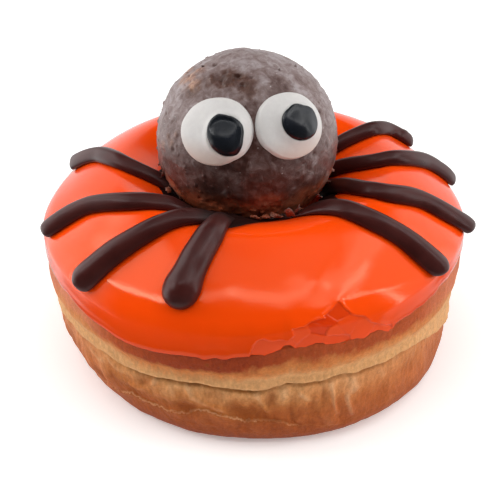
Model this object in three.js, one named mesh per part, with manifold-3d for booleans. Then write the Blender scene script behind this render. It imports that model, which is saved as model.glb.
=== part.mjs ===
// Raised ring doughnut dipped in orange icing, with a chocolate doughnut ball in its hole.
// The ball has two sugar eyes, and eight legs of piped chocolate lie on the icing.
// Units are millimetres, +Z is up, the front faces -Y and +X is to the right.
// A turn is an angle about the ring's axis, 0 at the front and 90 degrees at the right.
import * as THREE from 'three';
import { mergeVertices } from 'three/addons/utils/BufferGeometryUtils.js';
import Module from 'manifold-3d';

const wasm = await Module();
wasm.setup();

// Ring, by the outside of its icing
const rimRadius = 47.8;
const rimHeight = 30.6;
const crestRadius = 30;
const crestHeight = 45.4;
const holeRadius = 12.5;
const throatHeight = 30;
const throatHandle = new THREE.Vector2(12.2, 40);
const crestInnerHandle = 26.5;
const crestHandleShare = 0.33;
const rimHandleShare = 0.28;
const icingUndercut = 0.3;
const ringSectors = 64;
const crownRows = 12;
const icingStart = -18;

// Levels on the ring's side
const icingEdgeHeight = 25.4;
const bandTopHeight = 21.4;
const creaseHeight = 17;
const levelsEnd = 40;
// The edge's waves: how many round the ring, their height and where each one peaks
const edgeLift = 1;
const edgeWaves = [[1, 0.5, 92], [2, 0.8, 57], [3, 0.8, 45], [4, 0.3, 32], [5, 1.25, 3]];

// Dough under and below the icing
const icingThickness = 1.2;
const crustRadius = 47.1;
const crustDrop = 1.3;
const bandRadius = 45.9;
const bandSwell = 0.4;
const creaseDepth = 0.9;
const creaseHalfWidth = 0.5;
const bellyRadius = 45.8;
const baseRadius = 39.3;
const baseInnerRadius = 23;
const bellyHandleHeight = 7;
const bellyHandleShare = 0.6;
const holeHandleRadius = 16;
const holeWallHeight = 17;
const baseShift = 1.9;
const leanStart = 12;
const leanEnd = 3;
const swells = [0.004, 0.003];
const puckerDepth = 0.7;
const puckers = 11;
const puckerBottom = 2;
const puckerTop = 13;

// Ball and eyes
const ballRadius = 20;
const ballHeight = 51.3;
const ballShift = -1.5;
const cragDepth = 0.7;
const eyeHalfWidth = 7.8;
const eyeHalfHeight = 7.1;
const eyeDome = 3;
const eyeEdge = 0.9;
const pupilDome = 2.1;
const pupilEdge = 0.6;

// Piped legs
const legHeight = 2.8;
const legBelly = 0.9;
const legRows = 12;

const gap = 0.3;
// The middle of the footprint, measured from the ring's axis
const middle = new THREE.Vector2(1, 0);

const degrees = Math.PI / 180;
const { lerp, clamp, smoothstep } = THREE.MathUtils;

// Icing outline from the hole over the crest to the lower edge, as radius and height
const crown = new THREE.Path()
  .moveTo(holeRadius, throatHeight)
  .bezierCurveTo(throatHandle.x, throatHandle.y,
    crestInnerHandle, crestHeight, crestRadius, crestHeight)
  .bezierCurveTo(lerp(crestRadius, rimRadius, crestHandleShare), crestHeight,
    rimRadius, lerp(rimHeight, crestHeight, rimHandleShare), rimRadius, rimHeight)
  .quadraticCurveTo(rimRadius, (rimHeight + icingEdgeHeight) / 2,
    rimRadius - icingUndercut, icingEdgeHeight);
const crownLength = crown.getLength();
const crestAlong = crown.curves[0].getLength();
const crownEnd = crownLength - crestAlong;

// A point of the crown, by its distance outward from the crest and its depth below the face
function crownPoint(distance, depth) {
  const share = clamp((crestAlong + distance) / crownLength, 0, 1);
  const point = crown.getPoint(share);
  const along = crown.getTangent(share);
  return new THREE.Vector2(point.x + depth * along.y, point.y - depth * along.x);
}

// How far the icing's lower edge lies above its usual level
function edgeRise(turn) {
  return edgeWaves.reduce((sum, [count, height, peak]) => (
    sum + height * Math.cos(count * (turn - peak * degrees))
  ), edgeLift);
}

// The ring as it is: swollen unevenly, its base pushed right and its icing dipped askew
function settle(turn, radius, height) {
  const swell = 1 + swells[0] * Math.cos(2 * turn + 0.7) + swells[1] * Math.cos(3 * turn + 0.5);
  const lean = baseShift * (1 - smoothstep(height, leanEnd, leanStart));
  const tent = Math.min(
    smoothstep(height, bandTopHeight, icingEdgeHeight),
    1 - smoothstep(height, icingEdgeHeight, levelsEnd));
  return new THREE.Vector3(
    radius * swell * Math.sin(turn) + lean,
    -radius * swell * Math.cos(turn),
    height + tent * edgeRise(turn));
}

// Merge a geometry's vertices and move each one by a function
function reshape(geometry, move) {
  geometry.deleteAttribute('normal');
  geometry.deleteAttribute('uv');
  const shape = mergeVertices(geometry, 1e-4);
  const positions = shape.attributes.position;
  const vertex = new THREE.Vector3();
  for (let i = 0; i < positions.count; i += 1) {
    vertex.fromBufferAttribute(positions, i);
    const moved = move(vertex);
    positions.setXYZ(i, moved.x, moved.y, moved.z);
  }
  return shape;
}

// Spin a closed profile about the ring's axis, then settle it
function ringShape(profile, relief) {
  const spun = new THREE.LatheGeometry([profile[0], ...profile.toReversed()], ringSectors);
  return reshape(spun, (vertex) => {
    const turn = Math.atan2(vertex.x, vertex.z);
    const radius = Math.hypot(vertex.x, vertex.z);
    return settle(turn, radius - relief(turn, radius, vertex.y), vertex.y);
  });
}

// Points along the crown from the icing's start to its edge, all at one depth
function crownRow(depth) {
  const row = [];
  for (let i = 0; i <= crownRows; i += 1) {
    row.push(crownPoint(lerp(icingStart, crownEnd - 0.5, i / crownRows), depth));
  }
  return row;
}

function doughShape() {
  const depth = icingThickness + gap;
  const top = [crownPoint(-crestAlong, depth), ...crownRow(depth)];
  const side = new THREE.Path()
    .moveTo(crustRadius, icingEdgeHeight - crustDrop)
    .lineTo(crustRadius, bandTopHeight + creaseHalfWidth)
    .quadraticCurveTo(crustRadius, bandTopHeight, bandRadius, bandTopHeight - creaseHalfWidth)
    .quadraticCurveTo(bandRadius + bandSwell, (bandTopHeight + creaseHeight) / 2,
      bandRadius, creaseHeight + creaseHalfWidth);
  const belly = new THREE.Path()
    .moveTo(bellyRadius, creaseHeight - creaseDepth)
    .bezierCurveTo(bellyRadius, bellyHandleHeight,
      lerp(baseRadius, bellyRadius, bellyHandleShare), 0, baseRadius, 0);
  const hole = new THREE.Path()
    .moveTo(baseInnerRadius, 0)
    .bezierCurveTo(holeHandleRadius, 0, holeRadius, bellyHandleHeight, holeRadius, holeWallHeight);
  const crease = new THREE.Vector2(bandRadius - creaseDepth, creaseHeight);
  const profile = [
    ...top, ...side.getPoints(2), crease, ...belly.getPoints(6), ...hole.getPoints(4),
  ];
  return ringShape(profile, pucker);
}

// Folds that pull the crust in below the crease, deepest at the front
function pucker(turn, radius, height) {
  const above = smoothstep(height, puckerBottom, creaseHeight / 2);
  const below = 1 - smoothstep(height, puckerTop, creaseHeight - creaseHalfWidth);
  const outside = smoothstep(radius, baseInnerRadius, baseRadius);
  const fold = 0.5 + 0.5 * Math.sin(puckers * turn + 1.4 * Math.sin(3 * turn));
  const front = 0.55 + 0.45 * Math.cos(turn);
  return puckerDepth * above * below * outside * fold * front;
}

function icingShape() {
  const edge = crownPoint(crownEnd, icingThickness / 2);
  const profile = [...crownRow(0), edge, ...crownRow(icingThickness).reverse()];
  return ringShape(profile, () => 0);
}

// Crags of the cake ball's crust: two crossed waves give 0 to 1, always inward of its radius
function crag(direction) {
  const { x, y, z } = direction;
  const wide = Math.sin(11 * x + 5 * z) * Math.sin(9 * y - 7 * z + 1);
  const narrow = Math.sin(13 * z + 8 * x - 6 * y);
  return cragDepth * (0.5 - 0.3 * wide - 0.2 * narrow);
}

function ballShape(radius, relief) {
  const sphere = new THREE.SphereGeometry(1, 36, 22).rotateX(Math.PI / 2);
  return reshape(sphere, (vertex) => {
    const reach = radius - relief(vertex);
    return vertex.clone().multiplyScalar(reach).add(new THREE.Vector3(ballShift, 0, ballHeight));
  });
}

// A drop that sits on a curved floor: flat below, domed above, with a round edge
function dropShape(frame, sides, rows, outline, floor, edge, dome) {
  const sphere = new THREE.SphereGeometry(1, sides, rows).rotateX(Math.PI / 2);
  return reshape(sphere, (vertex) => {
    const reach = outline(Math.atan2(vertex.y, vertex.x));
    const x = vertex.x * reach.x + reach.shift.x;
    const y = vertex.y * reach.y + reach.shift.y;
    const lift = vertex.z < 0 ? edge * (1 - Math.sqrt(-vertex.z)) : lerp(edge, dome, vertex.z);
    return new THREE.Vector3(x, y, floor(x, y) + lift).applyMatrix4(frame);
  });
}

// Each eye's aim from the ball's middle, its pupil's place and half sizes, and its outline
const eyes = [
  { side: 'left', turn: -22.2, tilt: 28.3, pupil: [3.5, -0.5], pupilHalf: [3.5, 4.2], skew: 0.6 },
  { side: 'right', turn: 32, tilt: 29.7, pupil: [0.2, 0], pupilHalf: [4.1, 3.8], skew: 2.4 },
];

function eyeFrame(eye) {
  const turn = eye.turn * degrees;
  const tilt = eye.tilt * degrees;
  const across = new THREE.Vector3(Math.cos(turn), Math.sin(turn), 0);
  const out = new THREE.Vector3(Math.sin(turn), -Math.cos(turn), Math.tan(tilt)).normalize();
  const up = new THREE.Vector3().crossVectors(out, across);
  return new THREE.Matrix4().makeBasis(across, up, out).setPosition(ballShift, 0, ballHeight);
}

function ballFloor(x, y) {
  return Math.sqrt((ballRadius + gap) ** 2 - x * x - y * y);
}

function whiteTop(x, y) {
  const share = clamp(1 - (x / eyeHalfWidth) ** 2 - (y / eyeHalfHeight) ** 2, 0, 1);
  return ballFloor(x, y) + lerp(eyeEdge, eyeDome, Math.sqrt(share));
}

function eyeShapes(eye) {
  const frame = eyeFrame(eye);
  const still = new THREE.Vector2();
  const moved = new THREE.Vector2(...eye.pupil);
  const white = dropShape(frame, 26, 10, (angle) => {
    const swell = 1 + 0.015 * Math.cos(3 * angle + eye.skew);
    return { x: eyeHalfWidth * swell, y: eyeHalfHeight * swell, shift: still };
  }, ballFloor, eyeEdge, eyeDome);
  const pupil = dropShape(frame, 18, 8, (angle) => {
    const swell = 1 + 0.05 * Math.cos(3 * angle + eye.skew);
    return { x: eye.pupilHalf[0] * swell, y: eye.pupilHalf[1] * swell, shift: moved };
  }, (x, y) => whiteTop(x, y) + gap, pupilEdge, pupilDome);
  return { white, pupil };
}

// Each leg's route over the icing, as turns in degrees and distances outward from the
// crest, with its width at the root and at the tip
const legs = [
  { name: 'leg_left_1', route: [[-74, -10], [-84, -2], [-98, 5], [-106, 14]], widths: [4.2, 4.6] },
  { name: 'leg_left_2', route: [[-38, -6], [-49, -0.5], [-67, 8.5], [-74, 19]], widths: [4.4, 5] },
  { name: 'leg_left_3', route: [[-18, -4.5], [-32, 1.2], [-42, 10.5], [-48, 19.8]], widths: [4.4, 6] },
  { name: 'leg_left_4', route: [[-9, -5], [-12.5, 1.4], [-17, 8], [-19.3, 15.2]], widths: [4.8, 7.2] },
  { name: 'leg_right_1', route: [[122, -10], [118, -1], [121, 6.5], [118.5, 11]], widths: [4.2, 4.6] },
  { name: 'leg_right_2', route: [[100, -11], [89, -2], [100, 10], [104, 19.6]], widths: [4.2, 4.8] },
  { name: 'leg_right_3', route: [[72, -10], [60, -1], [71, 8.5], [79, 21.4]], widths: [4.6, 5.2] },
  { name: 'leg_right_4', route: [[32, -8], [41, 1], [50, 10.5], [54.5, 20.2]], widths: [4.8, 5.8] },
];

// A point of a leg: how far along its route, past its end, across it and above the icing
function legPoint(route, share, past, across, lift) {
  const here = route.getPoint(share);
  const ahead = route.getPoint(Math.min(share + 0.02, 1));
  const behind = route.getPoint(Math.max(share - 0.02, 0));
  const radius = crownPoint(here.y, 0).x;
  const sideways = (ahead.x - behind.x) * degrees * radius;
  const along = new THREE.Vector2(sideways, ahead.y - behind.y).normalize();
  const turn = here.x * degrees + (along.x * past + along.y * across) / radius;
  const section = crownPoint(here.y + along.y * past - along.x * across, -lift);
  return settle(turn, section.x, section.y);
}

// A capsule laid along the leg's route, flat below and grown all round by a margin
function legShape(leg, grow) {
  const points = leg.route.map(([turn, distance]) => new THREE.Vector2(turn, distance));
  const route = new THREE.SplineCurve(points);
  const capsule = new THREE.CapsuleGeometry(1, legRows, 3, 8, legRows);
  return reshape(capsule, (vertex) => {
    const middleRow = clamp(vertex.y, -legRows / 2, legRows / 2);
    const share = middleRow / legRows + 0.5;
    const halfWidth = lerp(...leg.widths, share * share) / 2 + grow;
    const up = vertex.z < 0 ? -legBelly * Math.sqrt(-vertex.z) : (legHeight - legBelly) * vertex.z;
    const lift = gap + legBelly + up + grow * Math.sign(vertex.z);
    return legPoint(route, share, (vertex.y - middleRow) * halfWidth, -vertex.x * halfWidth, lift);
  });
}

function toManifold(geometry) {
  const mesh = new wasm.Mesh({
    numProp: 3,
    vertProperties: geometry.attributes.position.array,
    triVerts: Uint32Array.from(geometry.index.array),
  });
  return new wasm.Manifold(mesh);
}

function toGeometry(manifold) {
  const mesh = manifold.getMesh();
  const geometry = new THREE.BufferGeometry();
  geometry.setAttribute('position', new THREE.BufferAttribute(mesh.vertProperties, 3));
  geometry.setIndex(new THREE.BufferAttribute(mesh.triVerts, 1));
  return geometry;
}

const group = new THREE.Group();
group.position.set(-middle.x, -middle.y, 0);

function add(name, geometry, color, roughness) {
  const material = new THREE.MeshStandardMaterial({ color, roughness, metalness: 0 });
  const mesh = new THREE.Mesh(geometry, material);
  mesh.name = name;
  group.add(mesh);
}

add('ring_dough', doughShape(), '#b8743c', 0.7);
const ballSpace = toManifold(ballShape(ballRadius + gap, () => 0));
add('orange_icing', toGeometry(toManifold(icingShape()).subtract(ballSpace)), '#ff5a22', 0.25);
add('chocolate_ball', ballShape(ballRadius, crag), '#4a2a22', 0.45);
for (const eye of eyes) {
  const { white, pupil } = eyeShapes(eye);
  add(`eye_${eye.side}_white`, white, '#ece8e4', 0.5);
  add(`eye_${eye.side}_pupil`, pupil, '#17181b', 0.15);
}

// Legs that cross at their roots are cut back from the one before
let taken = ballSpace;
for (const leg of legs) {
  const piped = toManifold(legShape(leg, 0)).subtract(taken);
  taken = taken.add(toManifold(legShape(leg, gap)));
  add(leg.name, toGeometry(piped), '#3a1a16', 0.2);
}

export default group;
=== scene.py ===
# Halloween spider doughnut: a fried ring in orange icing, a glazed cake ball, sugar eyes and piped
# legs. Shapes are worked out in millimetres with z up and the eyes facing -y, then scaled to metres.
import math
import bpy
import numpy as np
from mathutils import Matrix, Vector


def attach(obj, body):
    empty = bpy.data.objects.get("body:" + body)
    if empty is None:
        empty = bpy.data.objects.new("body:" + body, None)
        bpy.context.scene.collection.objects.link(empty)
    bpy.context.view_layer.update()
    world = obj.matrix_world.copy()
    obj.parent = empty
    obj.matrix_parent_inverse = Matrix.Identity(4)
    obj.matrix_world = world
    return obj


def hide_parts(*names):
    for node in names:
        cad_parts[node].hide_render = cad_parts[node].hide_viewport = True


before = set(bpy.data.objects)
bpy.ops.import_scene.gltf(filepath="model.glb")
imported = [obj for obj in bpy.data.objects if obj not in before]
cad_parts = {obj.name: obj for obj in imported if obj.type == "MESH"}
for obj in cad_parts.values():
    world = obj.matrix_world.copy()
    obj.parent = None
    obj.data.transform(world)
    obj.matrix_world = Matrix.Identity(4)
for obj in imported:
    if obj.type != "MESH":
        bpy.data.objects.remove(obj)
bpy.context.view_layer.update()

millimetre = 0.001


def toLinear(hexColour):
    # sRGB hex to the linear RGBA that Blender's sockets take
    channels = [int(hexColour[i:i + 2], 16) / 255 for i in (1, 3, 5)]
    return [c / 12.92 if c <= 0.04045 else ((c + 0.055) / 1.055) ** 2.4 for c in channels] + [1]


def smoothstep(value, low, high):
    share = np.clip((value - low) / (high - low), 0, 1)
    return share * share * (3 - 2 * share)


def mix(a, b, share):
    return a + (b - a) * share


# 1 where the value is nought, falling away softly over a width on both sides
def nearness(value, width):
    return np.exp(-(value / width) ** 2)


# Smooth gradient noise from about -1 to 1, its bumps one size apart
def bumps(points, size, seed=0):
    scaled = points / size + 37.7 * seed
    cell = np.floor(scaled).astype(np.int64)
    inside = scaled - cell
    fade = inside ** 3 * (inside * (inside * 6 - 15) + 10)
    total = np.zeros(len(points))
    for corner in np.ndindex(2, 2, 2):
        at = cell + corner
        mixed = seed * 2654435761
        for k, prime in enumerate((73856093, 19349663, 83492791)):
            mixed = mixed ^ (at[:, k] * prime)
        for shift, factor in ((13, 1274126177), (16, 2246822519)):
            mixed = (mixed ^ (mixed >> shift)) * factor & 0xFFFFFFFF
        slope = np.stack([(mixed >> shift) & 255 for shift in (0, 8, 16)], -1) / 127.5 - 1
        weight = np.prod(np.where(corner, fade, 1 - fade), axis=1)
        total += weight * np.sum(slope * (inside - corner), axis=1)
    return total * 1.4


def roughBumps(points, size, octaves, seed=0):
    total, height = np.zeros(len(points)), 1.0
    for octave in range(octaves):
        total += height * bumps(points, size / 2 ** octave, seed + octave)
        height *= 0.5
    return total


def bezier(corners, count):
    share = np.linspace(0, 1, count)[:, None]
    layers = [np.array(corner, float) for corner in corners]
    while len(layers) > 1:
        layers = [mix(a, b, share) for a, b in zip(layers, layers[1:])]
    return layers[0]


# The value at each turn round a closed line, from (degrees, value) corners rounded over some degrees
def aroundLine(turn, corners, roundedOver):
    perDegree = 10
    degrees, values = zip(*sorted(corners))
    grid = np.arange(-180, 180, 1 / perDegree)
    line = np.interp(grid, degrees, values, period=360)
    spread = np.hanning(int(roundedOver * perDegree) + 3)
    line = np.convolve(np.pad(line, len(spread), mode="wrap"), spread / spread.sum(), "same")
    return np.interp(np.degrees(turn), grid, line[len(spread):-len(spread)], period=360)


# Places round the ring at one radius, for the bumps that follow it
def roundPlaces(turn, radius, height):
    return np.stack([radius * np.sin(turn), radius * np.cos(turn), height], -1)


# Offset round the ring from a turn in degrees, in mm along a circle of one radius
def roundOffset(turn, degrees, radius):
    return (turn - math.radians(degrees) + math.pi) % (2 * math.pi) * radius - math.pi * radius


# Distance from each point to a broken line, all in the same units
def distanceToLine(across, up, line):
    nearest = np.full(across.shape, 1e9)
    for start, end in zip(np.array(line, float), np.array(line[1:], float)):
        step = end - start
        x, y = across - start[0], up - start[1]
        share = np.clip((x * step[0] + y * step[1]) / (step @ step), 0, 1)
        nearest = np.minimum(nearest, np.hypot(x - share * step[0], y - share * step[1]))
    return nearest


def isInside(across, up, outline):
    inside = np.zeros(across.shape, bool)
    for (x0, y0), (x1, y1) in zip(outline, outline[1:] + outline[:1]):
        crosses = (y0 > up) != (y1 > up)
        inside ^= crosses & (across < (x1 - x0) * (up - y0) / (y1 - y0 + 1e-12) + x0)
    return inside


# A mesh object from points in millimetres, with one number for each point under each marking's name
def makePiece(name, points, faces, material, markings=None):
    mesh = bpy.data.meshes.new(name)
    faces = np.asarray(faces)
    mesh.vertices.add(len(points))
    mesh.vertices.foreach_set("co", (np.asarray(points) * millimetre).astype(np.float32).ravel())
    mesh.loops.add(faces.size)
    mesh.loops.foreach_set("vertex_index", faces.astype(np.int32).ravel())
    mesh.polygons.add(len(faces))
    mesh.polygons.foreach_set("loop_start", np.arange(0, faces.size, faces.shape[1], dtype=np.int32))
    mesh.update(calc_edges=True)
    mesh.validate()
    mesh.shade_smooth()
    for title, numbers in (markings or {}).items():
        mesh.attributes.new(title, "FLOAT", "POINT").data.foreach_set("value", numbers.astype(np.float32))
    piece = bpy.data.objects.new(name, mesh)
    bpy.context.scene.collection.objects.link(piece)
    mesh.materials.append(material)
    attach(piece, "root")
    return piece


# Quads of a grid whose points run row by row, closed across the columns or both ways
def gridFaces(rows, columns, closedRows=False):
    row = np.arange(rows if closedRows else rows - 1)[:, None]
    column = np.arange(columns)[None, :]
    here, above = row * columns, (row + 1) % rows * columns
    after = (column + 1) % columns
    return np.stack([here + column, above + column, above + after, here + after], -1).reshape(-1, 4)


# Gives a node its own settings, values for its inputs, and the sockets that feed them; a string on
# an input is a colour
def supply(node, given):
    for key, value in given.items():
        if isinstance(key, str) and hasattr(node, key):
            setattr(node, key, value)
        elif isinstance(value, bpy.types.NodeSocket):
            node.id_data.links.new(value, node.inputs[key])
        else:
            node.inputs[key].default_value = toLinear(value) if isinstance(value, str) else value


# Adds a node with its settings and links, and gives back its first live output or the one named
def addNode(tree, kind, given=None, stops=None, output=None):
    node = tree.nodes.new("ShaderNode" + kind)
    supply(node, given or {})
    if stops:
        while len(node.color_ramp.elements) < len(stops):
            node.color_ramp.elements.new(0.5)
        for element, (position, colour) in zip(node.color_ramp.elements, stops):
            element.position, element.color = position, toLinear(colour)
    return node.outputs[output] if output else next(socket for socket in node.outputs if socket.enabled)


def newMaterial(name, settings):
    material = bpy.data.materials.new(name)
    material.use_nodes = True
    shader = material.node_tree.nodes["Principled BSDF"]
    supply(shader, settings)
    return material, material.node_tree, shader


# The ring as named sizes, the same as its solids have

ring = {
    "axis": -1.0,                 # where the ring's axis stands along x
    "rimRadius": 47.8,
    "rimHeight": 30.6,
    "crestRadius": 30.0,
    "crestHeight": 45.4,
    "throat": (12.5, 30.0),
    "throatHandle": (12.2, 40.0),
    "crestInnerHandle": 26.5,
    "crestHandleShare": 0.33,
    "rimHandleShare": 0.28,
    "curvePoints": 400,
    "skirtPoints": 120,
    "icingUndercut": 0.3,
    "edgeHeight": 25.4,
    "edgeRounding": 6,            # degrees
    "bandTop": 21.4,
    "crease": 17.0,
    "levelsEnd": 40.0,
    "baseShift": 1.9,
    "leanHeights": (3.0, 12.0),
    "swells": [(0.004, 2, 0.7), (0.003, 3, 0.5)],     # how much, how often round and from where
}


def crownCurve():
    r, count = ring, ring["curvePoints"]
    crest, rim = (r["crestRadius"], r["crestHeight"]), (r["rimRadius"], r["rimHeight"])
    inner = bezier([r["throat"], r["throatHandle"], (r["crestInnerHandle"], crest[1]), crest], count)
    outer = bezier([
        crest,
        (mix(crest[0], rim[0], r["crestHandleShare"]), crest[1]),
        (rim[0], mix(rim[1], crest[1], r["rimHandleShare"])),
        rim,
    ], count)
    skirt = bezier([
        rim,
        (rim[0], (rim[1] + r["edgeHeight"]) / 2),
        (rim[0] - r["icingUndercut"], r["edgeHeight"]),
    ], r["skirtPoints"])
    path = np.vstack([inner, outer[1:], skirt[1:]])
    distance = np.concatenate([[0], np.cumsum(np.hypot(*np.diff(path, axis=0).T))])
    along = np.gradient(path, axis=0)
    along /= np.hypot(*along.T)[:, None]
    return path, distance - distance[count - 1], np.stack([-along[:, 1], along[:, 0]], -1)


crownPath, crownDistance, crownNormal = crownCurve()
crownEnd = crownDistance[-1]


# Radius and height of the icing's face, at a distance outward from the crest, raised along its normal
def crownPoint(distance, lift=0.0):
    place = [np.interp(distance, crownDistance, crownPath[:, k]) for k in (0, 1)]
    normal = [np.interp(distance, crownDistance, crownNormal[:, k]) for k in (0, 1)]
    size = np.hypot(*normal)
    past = np.maximum(distance - crownEnd, 0)     # beyond the skirt the face goes straight down
    return place[0] + lift * normal[0] / size, place[1] + lift * normal[1] / size - past


# How high the icing's edge runs, by turn in degrees from the front to the right
edgeLevels = [
    (-180, 26.0), (-150, 27.3), (-120, 25.8), (-100, 26.8), (-82, 27.6), (-65, 27.6), (-57, 27.3),
    (-50, 26.3), (-42, 25.3), (-33, 24.3), (-25, 24.5), (-16, 25.2), (-6, 25.9), (2, 26.7),
    (8, 27.8), (15, 27.9), (20, 27.1), (26, 26.9), (33, 26.9), (41, 27.5), (50, 28.2), (58, 28.8),
    (70, 28.9), (85, 28.0), (105, 26.4), (130, 27.4), (155, 25.6),
]


def edgeHeight(turn):
    return aroundLine(turn, edgeLevels, ring["edgeRounding"])


# The ring as it is: swollen unevenly, its base pushed right and its icing dipped askew
def settle(turn, radius, height):
    r, swell = ring, 1
    for share, times, start in r["swells"]:
        swell = swell + share * np.cos(times * turn + start)
    lean = r["baseShift"] * (1 - smoothstep(height, *r["leanHeights"]))
    tent = np.minimum(
        smoothstep(height, r["bandTop"], r["edgeHeight"]),
        1 - smoothstep(height, r["edgeHeight"], r["levelsEnd"]))
    rise = edgeHeight(turn) - r["edgeHeight"]
    return np.stack([
        radius * swell * np.sin(turn) + lean + r["axis"],
        -radius * swell * np.cos(turn),
        height + tent * rise,
    ], -1)


def surfaceNormals(grid, rows, columns):
    shaped = grid.reshape(rows, columns, 3)
    across = np.roll(shaped, -1, 1) - np.roll(shaped, 1, 1)
    normal = np.cross(np.gradient(shaped, axis=0), across)
    return (normal / (np.linalg.norm(normal, axis=2, keepdims=True) + 1e-12)).reshape(-1, 3)


# Turns round the ring, closer together where the front shows fine detail
def ringTurns(coarse, fine, span):
    step, blur = 0.05, 60
    degrees = np.arange(-180, 180, step)
    density = np.where((degrees > span[0]) & (degrees < span[1]), 1 / fine, 1 / coarse)
    window = np.ones(2 * blur + 1) / (2 * blur + 1)
    density = np.convolve(np.pad(density, blur, mode="wrap"), window, "valid")
    count = np.cumsum(density) * step
    return np.radians(np.interp(np.arange(int(count[-1])), count, degrees))


# Fried dough

dough = {
    "turnSteps": (1.1, 0.37),     # degrees between columns at the back and in front
    "fineTurns": (-66, 66),
    "round": 46.0,                # the radius that lengths round the wall are taken at
    "crustRadius": 47.1,
    "bandRadius": 45.9,
    "bellyRadius": 45.75,
    "baseRadius": 39.3,
    "baseInnerRadius": 23.0,
    # Corners of the crust's and the band's outline, as (out from the radius, height)
    "crustCorners": [(0.25, 24.4), (0.1, 23.0), (0.0, 22.4), (-0.05, 21.5)],
    "bandCorners": [(0.45, 21.0), (0.35, 19.9), (0.3, 19.3), (0.4, 18.0)],
    "bellyHandle": (7.0, 0.6),
    "wallRows": (26, 16, 18, 16, 60),
    "topRows": 16,
    "baseRows": 7,
    "holeRows": 12,
    "throatRows": 8,
    "innerStart": -18.0,          # how far in from the crest the dough goes under the icing
    "edgeTuck": 0.8,              # and how far short of the icing's edge its wall starts
    "holeHandleRadius": 16.0,
    "holeWallHeight": 17.0,
    "throatHandles": [(0.6, 24.0), (1.4, 30.0)],
    "icingDepth": 0.62,           # how far the crust lies below the icing's face at its edge
    "coveredRelief": -0.4,
    "creaseSpan": (0.5, 1.2),     # how far above and below its line the crease's rows reach
    "creaseDepth": 1.5,
    "creaseAbove": 0.28,          # half widths of the crease above and below its line
    "creaseBelow": 0.75,
    "creaseReach": (8.5, 21.3),   # the heights between which the crease may wander
    "lipRise": 0.35,              # how far the band's lip hangs out over the crease
    "lipAbove": 1.0,
    "lipWidth": 0.8,
    "bellyRises": (2.5, 8.0),
    "bellyEnds": (12.5, 16.5),
    "pleatDepth": 0.6,
    "pleatWidth": 5.0,
    "pleatPale": 0.62,            # pleats over this share of their height look paler, the rest darker as painted shade in their hollows
    "hollowDark": (0.25, 0.8),    # how dark a sunken place is painted, at the least and for each mm of depth: caramel and painted shade
    "foldPale": 1.1,
    "bodyBumps": [(0.3, 9.0, 1, 3), (0.12, 3.2, 3, 5)],       # height, size, octaves and seed
    "skinBumps": (0.15, 1.7, 3, 9),
    "skinDrawn": 0.35,            # how far they are drawn out upward
    "calmShare": 0.35,            # how much of the pleats is left at the right, and from where to where
    "calmTurns": (22, 34),
    "fringeStep": 0.45,
    "fringeReach": (0.3, 4.5),
    "fringeRise": 0.15,
    "tuckedTurn": 70,             # drawn in under the band at the right
    "tuckedWidth": 17.0,
    "tuckedDepth": 1.2,
}

# Where the crease runs under the pale band, as (turn, height)
creaseLine = [
    (-180, 14.8), (-150, 15.6), (-120, 14.2), (-95, 13.2), (-80, 13.6), (-74, 14.4), (-66, 16.0),
    (-57, 17.0), (-43, 17.0), (-38, 16.3), (-32.2, 16.5), (-24.6, 16.9), (-19.8, 17.4),
    (-14.2, 17.6), (-9.6, 17.4), (-3.6, 17.2), (1, 16.8), (3.6, 17.0), (5.8, 17.7), (8, 18.4),
    (13.2, 18.1), (17.4, 17.8), (20.8, 18.4), (24, 18.0), (27.6, 17.4), (32.2, 17.6), (37.2, 16.9),
    (42.6, 17.4), (47.6, 17.2), (54.6, 15.5), (62, 13.8), (69, 12.4), (80, 11.8), (95, 12.6),
    (120, 14.5), (150, 15.5),
]
# How deep the crease is there, as a share of its full depth
creaseShares = [
    (-180, 0.6), (-140, 0.9), (-110, 0.5), (-80, 1.0), (-70, 0.7), (-60, 0.15), (-45, 0.12),
    (-36, 0.4), (-30, 0.75), (-20, 0.7), (-10, 0.8), (0, 0.7), (4, 0.3), (7, 0.5), (12, 0.9),
    (20, 0.7), (27, 0.6), (33, 0.75), (42, 0.4), (50, 0.6), (58, 0.8), (70, 1.0), (85, 0.9),
    (110, 0.6), (140, 0.8),
]
# Where the brown of the crust ends above the band
crustLine = [
    (-180, 22.0), (-130, 21.2), (-90, 21.6), (-73.6, 22.0), (-60, 22.8), (-50, 23.2), (-43, 22.6),
    (-38, 21.8), (-32, 20.9), (-25, 20.8), (-19.2, 20.9), (-10, 21.3), (-3, 21.9), (2, 22.4),
    (9, 23.0), (23, 22.8), (33, 22.7), (43, 22.9), (50, 22.1), (60, 22.4), (80, 21.6), (120, 22.0),
    (150, 21.3),
]
# How dark the crust is painted, darkest in front as painted shade and palest at the sides as painted side
# light, and how ruddy the belly is painted, ruddier at the sides as painted side light, by turn
crustShares = [
    (-180, 0.6), (-110, 0.5), (-75, 0.2), (-60, 0.05), (-50, 0.05), (-42, 0.35), (-32, 0.7),
    (-24, 0.95), (-12, 1.0), (0, 1.0), (8, 0.8), (20, 0.72), (32, 0.72), (44, 0.62), (52, 0.35),
    (64, 0.2), (80, 0.3), (120, 0.6),
]
ruddyShares = [
    (-180, 0.4), (-110, 0.5), (-60, 0.8), (-50, 0.75), (-45, 0.4), (-40, 0.12), (-20, 0), (8, 0),
    (20, 0.25), (36, 0.4), (46, 0.5), (60, 0.6), (100, 0.4), (140, 0.3),
]
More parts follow.
